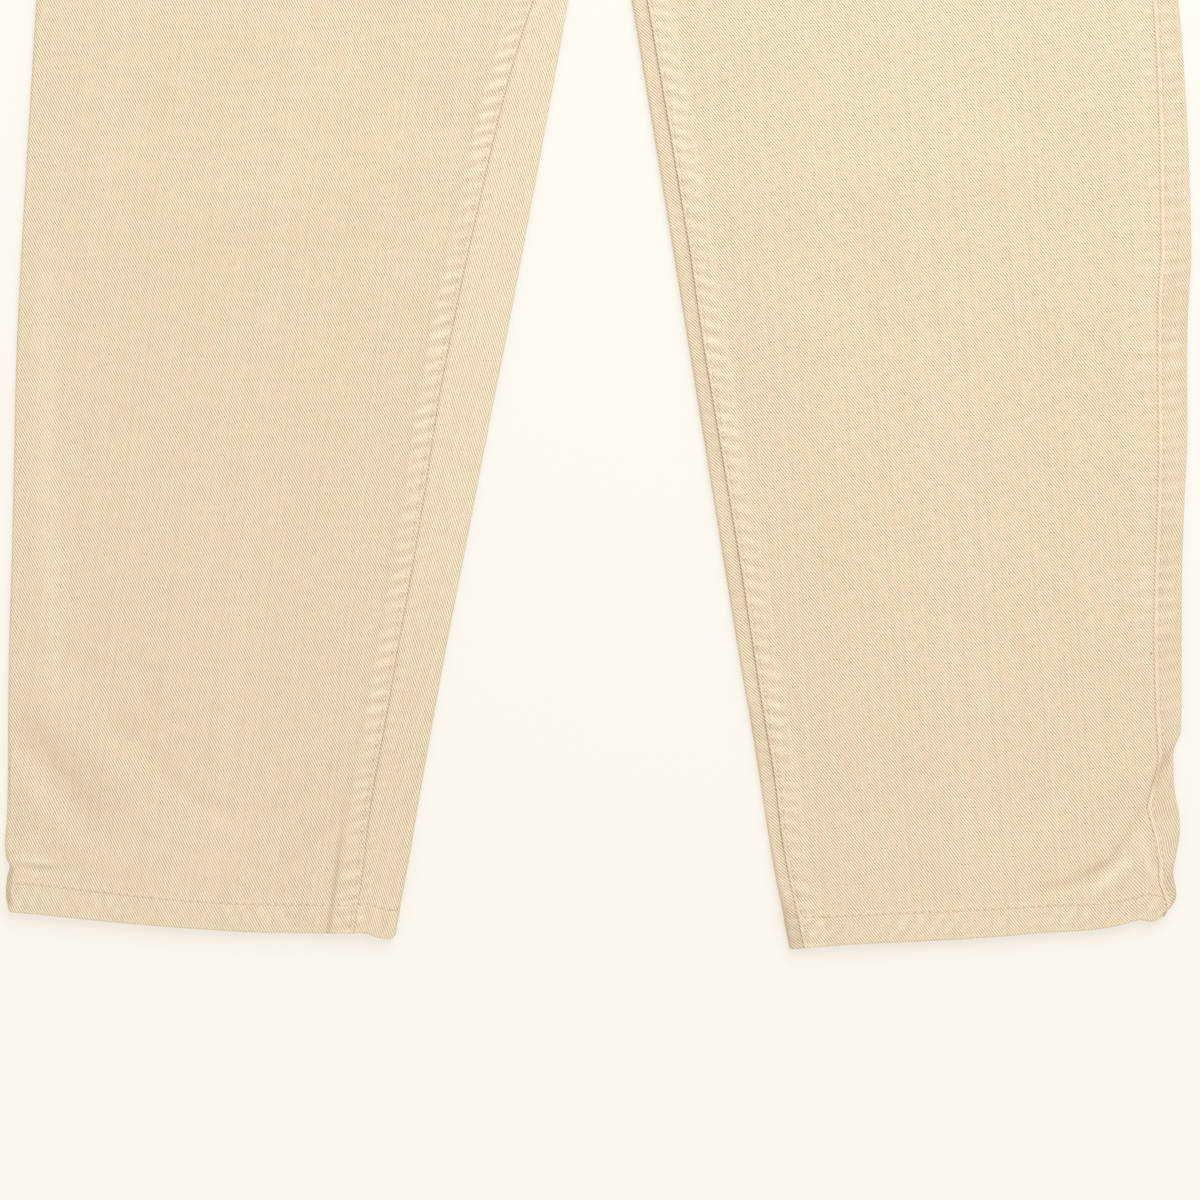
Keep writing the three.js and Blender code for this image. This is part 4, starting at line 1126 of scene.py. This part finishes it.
def yokeGroove(above):
    # how deep the two rows of stitching pull the yoke in
    return sum(yoke["groove"] * bell(above - row, yoke["grooveWide"]) for row in needle["rows"])


def yokePlace(leg, rises, arounds):
    lv = levelsOf(leg, rises, backDip)
    return place(leg, lv, column(arounds), -yokeGroove(lv.rise - yoke["sideUp"]))[:, 0]


def yokePanel(leg, name, material):
    onTop = leg["side"] > 0
    above = np.concatenate([[0.15, 0.35, 0.7, 1.3, 2.2], np.arange(3.5, 27, 1.9), [28.6, 29.3, 29.7, 29.85]])
    lv = levelsOf(leg, yoke["sideUp"] + above, backDip)
    start, quarter = lv.outseam - seamGap, lv.outerQuarter
    if onTop:
        bend = np.minimum(quarter, 0.6 * start)
        around = np.concatenate([
            columnsBetween(start, bend, plainSteps[:5], [0], 1),
            mix(bend, -quarter, np.linspace(0, 1, 9)[1:-1]),
            columnsBetween(-quarter, -lv.over, [0, 2, 5], plainSteps, 30)], axis=1)
    else:
        around = columnsBetween(start, -lv.over, plainSteps, plainSteps, 34)
    above, tall = column(above), garment["waistSeamUp"] - yoke["sideUp"]
    toFoot, toHead = above - 0.1 + 0 * around, tall - above + 0 * around
    nearest = np.minimum.reduce([start - around, around + lv.over, toFoot, toHead])
    puckers = yoke["pucker"] * puckerRise(around, toFoot, "outseam")
    points = place(leg, lv, around, puckers - yokeGroove(above) - turnedEdge(nearest))
    return clothMesh(name, points, {"cut": cutPlaces(leg, lv, around, True)}, plainShades(nearest), material,
                     not onTop)


def pocketFacing(leg, name, material):
    onTop = leg["side"] > 0
    rises = garment["waistSeamUp"] - scoop["deep"] * np.cos(np.linspace(0, np.pi / 2, 20))
    lv = levelsOf(leg, np.append(rises, garment["waistSeamUp"] + 0.15), frontDip)
    start = lv.outseam + garment["gap"]
    end = lv.outseam + scoopIn(lv.rise) + scoop["underlap"]
    quarter = lv.outerQuarter
    if onTop:
        around = mix(start, end, np.linspace(0, 1, 30))
    else:
        around = np.concatenate([
            mix(start, -quarter, np.linspace(0, 1, 5)), mix(-quarter, quarter, np.linspace(0, 1, 9)[1:]),
            mix(quarter, end, np.linspace(0, 1, 28)[1:])], axis=1)
    points = place(leg, lv, around, -tuck - scoop["under"] - unevenness(scoop["uneven"], around, lv.rise))
    shades = {"rub": 0 * around, "soil": 0 * around}
    return clothMesh(name, points, {"cut": cutPlaces(leg, lv, around, False)}, shades, material, onTop)


backPocket = {"fromCentre": 42, "wide": 138, "footWide": 122, "topUp": 802, "topSlope": 3, "tall": 140,
              "point": 22, "faceZ": 0.45, "edge": 0.5, "hemDeep": 14, "uneven": [(0.05, 15, 18, 71)]}


def pocketSpot(across, down):
    # a place on a back pocket: across from -1, nearest the centre back, to 1, down from 0 to 1
    form = backPocket
    x = form["fromCentre"] + form["wide"] / 2 + across * mix(form["wide"], form["footWide"], down) / 2
    topUp = form["topUp"] - form["topSlope"] * (1 - across) / 2
    footUp = form["topUp"] - form["tall"] + form["point"] * np.abs(across)
    return x, mix(topUp, footUp, down)


def patchPocket(leg, name, material):
    form, steps = backPocket, np.array([0, 0.004, 0.012, 0.025, 0.045])
    t = np.concatenate([steps, np.linspace(0.07, 0.93, 25), 1 - steps[::-1]])
    across, down = np.meshgrid(2 * t - 1, t)
    x, up = pocketSpot(across, down)
    toEdge = np.minimum((1 - np.abs(across)) * form["wide"] / 2, np.minimum(down, 1 - down) * form["tall"])
    z = form["faceZ"] + form["edge"] * np.exp(-toEdge / 0.5) + unevenness(form["uneven"], x, up)
    cut = np.stack([x, up], axis=-1) * mm
    return clothMesh(name, framePlaces(leg["side"] * x, up, z), {"cut": cut}, plainShades(toEdge), material,
                     leg["side"] < 0)


band = {"floor": 1.7, "height": 5.5, "lapHeight": 7.9, "underlap": 22, "overlap": 16, "blend": 20,
        "fold": 1.15, "lapClear": 6, "edge": 0.6, "uneven": [(0.12, 9, 8, 81), (0.1, 27, 15, 82)]}


def bandPlace(leg, up, around, depth=0.0):
    # a place on the waistband: around as on a panel and on past the centre, depth inwards from outside
    up, around = (column(v) if np.ndim(v) < 2 else v for v in (up, around))
    lv = levelsOf(leg, up, radius=band["height"] / 2)
    ro, inOuter = lv.outerRadius, np.abs(around) <= lv.outerQuarter
    angle = around / ro
    fromOuter = np.where(inOuter, ro - (ro - depth) * np.cos(angle), fromOuterOf(lv, around))
    share = fromOuter / lv.width
    dips = [dip(garment["waistSeamUp"], insideOf(share)) for dip in (frontDip, backDip)]
    height = band["height"]
    if leg["side"] > 0:
        lapEnd = band["underlap"] + band["lapClear"]
        height = mix(band["lapHeight"], height, smooth(lv.width - fromOuter, lapEnd, lapEnd + band["blend"]))
    z = np.where(inOuter, ro + (ro - depth) * np.sin(angle), np.where(around > 0, height - depth, depth))
    x = leg["side"] * mix(lv.outerX, lv.innerX, share)
    return framePlaces(x, lv.rise + np.where(around > 0, *dips), z + band["floor"])


def bandRow(leg, ups, arounds):
    return bandPlace(leg, ups, arounds)[:, 0]


def bandRows():
    topUp = garment["waistSeamUp"] + garment["bandDeep"]
    foot, turn = garment["waistSeamUp"] + garment["gap"] + 0.05, band["fold"]
    rows = [(foot, 0.5), (foot + 0.1, 0.25), (foot + 0.35, 0.05), (foot + 0.8, 0)]
    rows += [(up, 0) for up in np.arange(foot + 2.2, topUp - 2, 1.9)]
    for angle in np.radians(np.linspace(0, 180, 7)):
        rows.append((topUp - turn + turn * math.sin(angle), turn * (1 - math.cos(angle))))
    rows += [(up, 2 * turn) for up in np.arange(topUp - 4, foot + 2, -5)] + [(foot, 2 * turn)]
    return np.array(rows)


def waistband(name, material):
    rows, halves = bandRows(), []
    rise, outside = rows[:, :1], rows[:, 1:] < 0.6
    for leg, past in ((rightLeg, band["underlap"]), (leftLeg, band["overlap"])):
        lv = levelsOf(leg, rise, radius=band["height"] / 2)
        over, quarter, end = lv.over, lv.outerQuarter, lv.over + past
        around = np.concatenate([
            end - np.array([0, 0.15, 0.4, 0.9, 1.8]), mix(end - 4, quarter + 2, np.linspace(0, 1, 62)),
            mix(quarter, -quarter, np.linspace(0, 1, 11)),
            mix(-quarter - 3, -over, np.linspace(0, 1, 52))], axis=1)
        toEnd = end - around
        toFoot = rise - garment["waistSeamUp"] - garment["gap"] + 0 * around
        uneven = unevenness(band["uneven"], around, rise) * smooth(toEnd, 0, 3) * smooth(toFoot, 0, 3)
        depth = rows[:, 1:] + (turnedEdge(toEnd, band["edge"]) - uneven) * outside
        grid = bandPlace(leg, rise, around, depth)
        # the weave runs on through the centre back
        fromBack = mix(over, np.mean(over), smooth(around, -over, 0))
        tall = np.cumsum(np.abs(np.diff(rows[:, 0], prepend=rows[0, 0])))[:, None] + 0 * around
        cut = np.stack([tall, leg["side"] * (around + fromBack)], axis=-1) * mm
        # painted shade along the band's foot and its lapped end
        half = grid, cut, bell(np.minimum(toFoot, toEnd + 1), 0.5) * outside
        halves.append(half if leg["side"] < 0 else [part[:, ::-1][:, 1:] for part in half])
    points, cut, soil = (np.concatenate(part, axis=1) for part in zip(*halves))
    topUp = garment["waistSeamUp"] + garment["bandDeep"]
    shades = {"rub": 0.4 * bell(rise - topUp, 1.2) + 0 * soil, "soil": soil}
    return clothMesh(name, points, {"cut": cut}, shades, material, True)


loop = {"wide": 12, "below": 6, "above": 1, "thick": 1.15, "arch": 2.2, "fromCentre": 105, "rowIn": 2.2,
        "backZ": 0.46, "long": 45, "edge": 0.45, "groove": 0.14, "grooveAt": 0.63, "ends": 0.3}
loopSpots = {
    "front_right": (-loop["fromCentre"], True), "front_left": (loop["fromCentre"], True),
    "back_right": (-loop["fromCentre"], False), "back_centre": (0, False),
    "back_left": (loop["fromCentre"], False)}


def loopSurface(spot, across, share):
    # outer face of a belt loop: across from -1 to 1, share of its length from foot to head
    x, front = loopSpots[spot]
    seamUp = garment["waistSeamUp"]
    halfWide = readTable(rightLeg["outerEdge"], seamUp)
    seam = seamUp + (frontDip if front else backDip)(seamUp, 1 - abs(x) / halfWide)
    up = mix(seam - loop["below"], seam + garment["bandDeep"] + loop["above"], share)
    fromMiddle = np.abs(across)
    groove = loop["groove"] * bell(fromMiddle - loop["grooveAt"], 0.1)
    sunk = loop["edge"] * smooth(fromMiddle, 0.9, 1.0) + groove
    sunk = sunk + loop["ends"] * (1 - smooth(np.minimum(share, 1 - share), 0, 0.02))
    if front:
        low = band["floor"] + band["height"] + garment["gap"] + 0.05
        z = low + loop["thick"] + loop["arch"] * np.sin(np.pi * np.clip(share, 0, 1)) ** 0.7 - sunk
    else:
        z = loop["backZ"] + sunk
    return framePlaces(x + (loop["wide"] / 2 - 0.05) * across, up, z)


def beltLoop(spot, name, material):
    t = np.concatenate([[0, 0.006, 0.015, 0.03], np.linspace(0.05, 0.95, 22), [0.97, 0.985, 0.994, 1]])
    u = np.array([-1, -0.98, -0.94, -0.86, -0.74, -0.63, -0.52, -0.35, -0.15])
    across, share = np.meshgrid(np.concatenate([u, [0], -u[::-1]]), t)
    cut = np.stack([across * loop["wide"] / 2, share * loop["long"]], axis=-1) * mm
    shades = {"rub": 0.3 * smooth(np.abs(across), 0.8, 1), "soil": 0 * across}
    front = loopSpots[spot][1]
    return clothMesh(name, loopSurface(spot, across, share), {"cut": cut}, shades, material, not front,
                     thickness=loop["thick"] * (0.95 if front else 0.85))


legWords = ((rightLeg, "Right", "right"), (leftLeg, "Left", "left"))
for leg, word, node in legWords:
    settle(yokePanel(leg, "yoke" + word, plainFinish), "yoke_" + node, (0.245, 0.066), 0.72)
    settle(pocketFacing(leg, "pocketFacing" + word, facingFinish), "pocket_facing_" + node,
           (0.115, 0.072), 0.82, ["back" + word])
    settle(patchPocket(leg, "backPocket" + word, plainFinish), "back_pocket_" + node,
           (0.14, 0.142), 0.87)
settle(waistband("waistBand", plainFinish), "waistband", (0.088, 0.90), 0.98,
       ["yokeRight", "yokeLeft"])
for spot in loopSpots:
    name = "beltLoop" + "".join(part.capitalize() for part in spot.split("_"))
    settle(beltLoop(spot, name, plainFinish), "belt_loop_" + spot, (0.0125, 0.047), 1.0,
           ["waistBand"])
print("yokes, facings, pockets, waistband and loops")


# Topstitching. Each surface takes rises and arounds and gives places, so a row follows what it is sewn on.
def frontPlace(leg, rises, arounds):
    lv, around = frontForm(leg, rises), column(arounds)
    return place(leg, lv, around, frontOut(leg, lv, around)[0])[:, 0]


def backPlace(leg, rises, arounds):
    lv, around = backForm(leg, rises), column(arounds)
    return place(leg, lv, around, backOut(leg, lv, around)[0])[:, 0]


def hemStitches(leg):
    # whole stitches all round the turned hem, at even places so that they meet their needle holes
    lv, pitch = levelsOf(leg, hem["deep"]), needle["hemPitch"]
    over, inseam = lv.over.item(), lv.inseam.item()
    ends = stitchEnds(math.ceil((inseam - 2 * over) / pitch), math.floor(inseam / pitch)) * pitch
    rises = hemLineAt(leg, lv, ends)
    onFront = ends.mean(axis=1) > lv.outseam.item()
    return [sewOn(surface, leg, rises[chosen], ends[chosen])
            for surface, chosen in ((frontPlace, onFront), (backPlace, ~onFront))]


def fromCentre(leg, rises, x):
    # how far round the cloth a place is that lies x from the centre line, on top
    lv = levelsOf(leg, rises)
    return (lv.outerX - column(x) + lv.outerQuarter - lv.outerRadius)[:, 0]


def upLine(low, high, step=4.0):
    return np.linspace(low, high, max(int((high - low) / step), 2))


# the fly's curved rows by how wide they are and where they end, and its tack by up and from the centre
flyRows = {"rows": ((39.0, 708.0), (33.0, 714.0)), "curveUp": 748, "straightUp": 752, "tack": (711.0, 2.5)}


def flyStitches():
    # the curved double row of the fly, the row on its lap and the double row down to the fork
    leg, waistUp, runs = leftLeg, garment["waistSeamUp"] - 1, []
    for wide, foot in flyRows["rows"]:
        turn, curveUp = np.radians(np.linspace(88, 0, 24)), flyRows["curveUp"]
        x = np.concatenate([wide * np.cos(turn), np.full(30, wide)])
        straight = np.linspace(flyRows["straightUp"], waistUp, 30)
        rises = np.concatenate([curveUp - (curveUp - foot) * np.sin(turn), straight])
        runs.append(sewPath(frontPlace, leg, rises, fromCentre(leg, rises, x)))
    lines = [(needle["rows"][0] - leg["lap"], fly["footUp"] + fly["lapStep"], waistUp - 1)]
    lines += [(row, garment["forkUp"] + 4, fly["footUp"] - 4) for row in needle["rows"]]
    for inside, low, high in lines:
        rises = upLine(low, high)
        runs.append(sewPath(frontPlace, leg, rises, fromCentre(leg, rises, inside)))
    tackUp, tackIn = flyRows["tack"]
    return runs + [tackOn(leg, tackUp, fromCentre(leg, tackUp, tackIn).item(), (1, 0.2, 0), 8)]


def mouthStitches(leg):
    # the double row beside the pocket's mouth, and a tack at its foot
    runs, turn = [], np.radians(np.linspace(3, 88, 30))
    for inside in needle["rows"]:
        steep = unit(np.stack([np.sin(turn) / scoop["wide"], np.cos(turn) / scoop["deep"]], axis=1))
        rises = garment["waistSeamUp"] - scoop["deep"] * np.cos(turn) - inside * steep[:, 1]
        reach = scoop["wide"] * np.sin(turn) + inside * steep[:, 0]
        lv = levelsOf(leg, rises)
        start = lv.outseam + seamGap if leg["side"] > 0 else lv.outerQuarter
        runs.append(sewPath(frontPlace, leg, rises, start[:, 0] + reach))
    foot = levelsOf(leg, scoopFootUp)
    footAt = (foot.outseam if leg["side"] > 0 else foot.outerQuarter).item()
    return runs + [tackOn(leg, scoopFootUp - 4, footAt + 6, (0.1, 1, 0), 7)]


def yokeStitches(leg):
    runs = []
    for above in needle["rows"]:
        lv = levelsOf(leg, yoke["sideUp"] + above)
        arounds = np.linspace(lv.outseam.item() - 3, 1 - lv.over.item(), 90)
        runs.append(sewPath(yokePlace, leg, np.full(90, yoke["sideUp"] + above), arounds))
    return runs


def seatStitches():
    # the centre back seam, on the left half
    runs, seamUp = [], yoke["sideUp"]
    for inside in needle["rows"]:
        for surface, low, high in ((backPlace, 640, seamUp - 2), (yokePlace, seamUp + 2, 870)):
            rises = upLine(low, high)
            runs.append(sewPath(surface, leftLeg, rises, -fromCentre(leftLeg, rises, inside)))
    return runs


def pocketStitches(leg):
    # a double row round the pocket, its hem and a tack at each end of its mouth
    form, runs, down = backPocket, [], (0, 0, -1)

    def spot(across, deep):
        x, up = pocketSpot(np.array(across, float), np.array(deep, float))
        return framePlaces(leg["side"] * x, up, form["faceZ"])

    for inside in needle["rows"]:
        u, v = 1 - 2 * inside / form["footWide"], 1 - 1.1 * inside / form["tall"]
        runs.append(sewLine(spot([-u, -u, 0, u, u], [0.012, v, v, v, 0.012]), down))
    hemAt = form["hemDeep"] / form["tall"]
    runs.append(sewLine(spot([-u, u], [hemAt, hemAt]), down))
    return runs + [barTack(spot([across], [0.03])[0], (0, 1, 0), down, length=8) for across in (-0.96, 0.96)]


def bandStitches():
    # a row along each edge of the waistband and one up its lapped end
    runs, ups = [], np.array([2.2, garment["bandDeep"] - 2.4]) + garment["waistSeamUp"]
    for leg, past in ((rightLeg, 0), (leftLeg, band["overlap"])):
        over = levelsOf(leg, ups).over[:, 0]
        ends = over + past - (needle["rows"][0] if past else band["overlap"])
        for up, start, end in zip(ups, 0.5 - over, ends):
            runs.append(sewPath(bandRow, leg, np.full(200, up), np.linspace(start, end, 200)))
    rises = upLine(*ups)
    return runs + [sewPath(bandRow, leg, rises, np.interp(rises, ups, ends))]


def loopStitches(spot):
    # two rows along the loop and a bar tack across each end
    normal = (0, 0, 1) if loopSpots[spot][1] else (0, 0, -1)
    inside, share = 1 - loop["rowIn"] / (loop["wide"] / 2), np.linspace(0.05, 0.95, 20)
    runs = [sewLine(loopSurface(spot, np.full(20, across), share), normal) for across in (-inside, inside)]
    for end in (0.045, 0.955):
        middle = loopSurface(spot, np.zeros(1), np.array([end]))[0]
        runs.append(barTack(middle, (1, 0, 0), normal, length=10.5))
    return runs


buttonhole = {"from": 2.0, "to": 15.5, "length": 1.9, "pitch": 0.55, "tack": 4.2}


def buttonholeStitches():
    # close stitches on both sides of the slit in the band's upper end, towards the wearer's left
    form = buttonhole
    x = np.arange(form["from"], form["to"], form["pitch"])
    up = garment["waistSeamUp"] + waist["frontDip"] + garment["bandDeep"] / 2
    z, facing = band["floor"] + band["lapHeight"], (0.0, 0.0, 1.0)
    runs = []
    for way in (-1, 1):
        near = framePlaces(x, up + way * 0.2, z)
        runs.append((near, near + np.array([0, way * form["length"] * mm, 0]), np.tile(facing, (len(x), 1))))
    return runs + [barTack(framePlaces(form["to"] + 0.3, up, z), (0, 1, 0), facing, form["tack"], count=9)]


def tackOn(leg, rise, around, way, length):
    start, end, normal = sewOn(frontPlace, leg, np.array([[rise, rise]]), np.array([[around, around + 0.4]]))
    return barTack(start[0], way, normal[0], length=length)


stitching = {}
for leg, word, node in legWords:
    stitching["hemStitches" + word] = hemStitches(leg)
    stitching["inseamStitches" + word] = [
        sewSeam(frontPlace, leg, "front" + word, "inseam", needle["inseamIn"], garment["forkUp"] - 2)]
    stitching["outseamStitches" + word] = [
        sewSeam(backPlace, leg, "back" + word, "outseam", needle["outseamIn"], yoke["sideUp"] - 2)]
    stitching["mouthStitches" + word] = mouthStitches(leg)
    stitching["yokeStitches" + word] = yokeStitches(leg)
    stitching["pocketStitches" + word] = pocketStitches(leg)
stitching["flyStitches"] = flyStitches()
stitching["seatStitches"] = seatStitches()
stitching["bandStitches"] = bandStitches()
stitching["loopStitches"] = [run for spot in loopSpots for run in loopStitches(spot)]
stitching["buttonholeStitches"] = buttonholeStitches()
for name, runs in stitching.items():
    settle(threadPiece(name, runs, threadFinish), None)
print("stitches:", sum(len(run[0]) for runs in stitching.values() for run in runs))


# Fastenings, from plain solids.
def joined(name, parts, material):
    deselect()
    for part in parts:
        part.select_set(True)
    bpy.context.view_layer.objects.active = parts[0]
    bpy.ops.object.join()
    piece = bpy.context.object
    piece.name = name
    bpy.ops.object.transform_apply(location=True, rotation=True, scale=True)
    piece.data.materials.clear()
    piece.data.materials.append(material)
    return piece


def choose(parts, chosen, mode):
    # selects the faces or corners of the active piece that are chosen, ready to be edited
    bpy.ops.object.mode_set(mode="EDIT")
    bpy.ops.mesh.select_mode(type=mode)
    bpy.ops.mesh.select_all(action="DESELECT")
    bpy.ops.object.mode_set(mode="OBJECT")
    for part in parts:
        part.select = chosen(part)
    bpy.ops.object.mode_set(mode="EDIT")


def bevelled(piece, width, segments, **limits):
    bevel = piece.modifiers.new("softEdge", "BEVEL")
    bevel.width = width * mm
    bevel.segments = segments
    for setting, value in limits.items():
        setattr(bevel, setting, value)
    bpy.ops.object.modifier_apply(modifier=bevel.name)


def cylinder(x, y, lowZ, highZ, radius, sides):
    deselect()
    bpy.ops.mesh.primitive_cylinder_add(vertices=sides, radius=radius * mm, depth=highZ - lowZ,
                                        location=(x, y, (lowZ + highZ) / 2))
    return bpy.context.object


button = {"radius": 8.5, "shank": 4.0, "shankDeep": 1.0, "bevel": 0.55, "bevelFrom": 40, "smoothTo": 38,
          "insets": ((2.0, 0.0), (0.7, -0.75), (3.6, 0.25), (1.4, 0.0))}


def tackButton(name, material):
    # a pressed cap with a rolled rim over a short shank
    low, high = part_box("waist_button")
    x, y = (low.x + high.x) / 2, (low.y + high.y) / 2
    capLow = low.z + button["shankDeep"] * mm
    shank = cylinder(x, y, low.z, capLow, button["shank"], 32)
    cap = cylinder(x, y, capLow, high.z, button["radius"], 64)
    choose(cap.data.polygons, lambda face: face.normal.z > 0.9, "FACE")
    for thickness, depth in button["insets"]:
        bpy.ops.mesh.inset(thickness=thickness * mm, depth=depth * mm)
    bpy.ops.object.mode_set(mode="OBJECT")
    bevelled(cap, button["bevel"], 3, limit_method="ANGLE", angle_limit=math.radians(button["bevelFrom"]))
    piece = joined(name, [cap, shank], material)
    bpy.ops.object.shade_smooth_by_angle(angle=math.radians(button["smoothTo"]))
    return piece


zipForm = {"toothPitch": 2.0, "tooth": (3.4, 1.0, 0.8), "toothOut": 0.75, "toothUp": 0.95, "firstTooth": 2.0,
           "tapeUp": 0.62, "cord": 0.3, "cordAt": 1.2, "cordWide": 0.8, "tapeThick": 0.55}
tapeHalf = np.array([0, 0.9, 1.6, 2.6, 3.2, 6, 9, 11.4, 12])


def zipTapes(name, material):
    # both tapes of the closed zip, in fine plain weave, with the cord ridge along the middle
    low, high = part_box("fly_zip")
    u, y = np.meshgrid(np.concatenate([-tapeHalf[:0:-1], tapeHalf]), np.linspace(low.y, high.y, 42))
    ridge = zipForm["cord"] * bell(np.abs(u) - zipForm["cordAt"], zipForm["cordWide"])
    z = low.z + (zipForm["tapeUp"] + ridge) * mm
    points = np.stack([(low.x + high.x) / 2 + u * mm, y, z], axis=-1)
    cut, shades = np.stack([u * mm, y], axis=-1), {"rub": 0 * u, "soil": 0 * u}
    return clothMesh(name, points, {"cut": cut}, shades, material, thickness=zipForm["tapeThick"])


def zipTeeth(name, material):
    # one tooth, repeated up the chain, and the whole row again for the other side, half a step on
    low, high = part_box("fly_zip")
    pitch, out = zipForm["toothPitch"] * mm, zipForm["toothOut"] * mm
    size = [side * mm for side in zipForm["tooth"]]
    y, z = low.y + zipForm["firstTooth"] * mm, low.z + zipForm["toothUp"] * mm + size[2] / 2
    deselect()
    bpy.ops.mesh.primitive_cube_add(size=1, location=((low.x + high.x) / 2 - out, y, z), scale=size)
    tooth = bpy.context.object
    bpy.ops.object.transform_apply(location=True, rotation=False, scale=True)
    row = tooth.modifiers.new("chain", "ARRAY")
    row.use_relative_offset = False
    row.use_constant_offset = True
    row.constant_offset_displace = (0, pitch, 0)
    row.count = int((high.y - low.y) / mm / zipForm["toothPitch"]) - 1
    bpy.ops.object.modifier_apply(modifier=row.name)
    bpy.ops.object.duplicate()
    other = bpy.context.object
    other.location = (2 * out, pitch / 2, 0)
    return joined(name, [tooth, other], material)


slider = {"wide": 8.6, "long": 8.4, "at": 4.3, "flat": 0.92, "narrow": 0.7, "narrowAt": 8, "bevel": 0.35,
          "crown": 1.9, "crownIn": 2.6, "crownDeep": 0.7}


def zipSlider(name, material):
    # a body that narrows upwards and the crown that a pull would hang from
    low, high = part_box("zip_slider")
    x, z, thick = (low.x + high.x) / 2, (low.z + high.z) / 2, high.z - low.z
    deselect()
    bpy.ops.mesh.primitive_cube_add(size=1, location=(x, low.y + slider["at"] * mm, z),
                                    scale=(slider["wide"] * mm, slider["long"] * mm, thick * slider["flat"]))
    body = bpy.context.object
    choose(body.data.vertices, lambda vertex: vertex.co.y > 0, "VERT")
    middle = (x, low.y + slider["narrowAt"] * mm, z)
    bpy.ops.transform.resize(value=(slider["narrow"], 1, 1), center_override=middle)
    bpy.ops.object.mode_set(mode="OBJECT")
    bevelled(body, slider["bevel"], 2)
    half = thick * slider["crownDeep"] / 2
    crown = cylinder(x, high.y - slider["crownIn"] * mm, z - half, z + half, slider["crown"], 20)
    return joined(name, [body, crown], material)


settle(tackButton("waistButton", nickel), "waist_button")
tapes = zipTapes("zipTapes", plainFinish)
teeth = zipTeeth("zipTeeth", nickel)
settle(tapes, "fly_zip", (0.024, 0.114), 1.0, ["backRight", "backLeft"])
settle(teeth, None)
settle(zipSlider("zipSlider", nickel), "zip_slider")
print("button, zip and slider")


# The pale table top and one broad light; it glows a little, which softens the shadows.
studio = {"size": 6.0, "under": 0.08, "colour": (0.265, 0.282, 0.295, 1), "glow": (1.0, 0.905, 0.775, 1),
          "glowPower": 0.635, "sky": (1.0, 0.985, 0.96, 1)}
keyLight = {"place": (0.6, 1.9, 1.35), "aim": (0, 0.2, 0), "size": 1.6, "power": 32.0,
            "colour": (0.95, 1.0, 1.06)}


def makeFloor():
    deselect()
    bpy.ops.mesh.primitive_plane_add(size=studio["size"], location=(0, 0, -studio["under"] * mm))
    floor = bpy.context.object
    floor.name = "floor"
    bpy.ops.object.transform_apply(location=True, rotation=False, scale=False)
    material, tree = newMaterial("paper")
    setShader(tree, {"Base Color": studio["colour"], "Emission Color": studio["glow"], "Roughness": 0.95,
                     "Emission Strength": studio["glowPower"], "Specular IOR Level": 0.1})
    floor.data.materials.append(material)


def makeLight(name, form):
    (x, y, z), (aimX, aimY, aimZ) = form["place"], form["aim"]
    bpy.ops.object.light_add(type="AREA", location=(x, lowY + y, z))
    light = bpy.context.object
    light.name = name
    light.data.shape = "SQUARE"
    light.data.size = form["size"]
    light.data.energy = form["power"]
    light.data.color = form["colour"]
    flat = math.hypot(aimX - x, aimY - y)
    light.rotation_euler = (math.atan2(flat, z - aimZ), 0, math.atan2(aimY - y, aimX - x) - math.pi / 2)


makeFloor()
makeLight("keyLight", keyLight)
world = bpy.data.worlds.new("studio")
bpy.context.scene.world = world
world.use_nodes = True
background = world.node_tree.nodes["Background"]
background.inputs["Color"].default_value = studio["sky"]
background.inputs["Strength"].default_value = 1.0
bpy.context.scene.view_settings.view_transform = "Standard"
print("floor, light and sky")
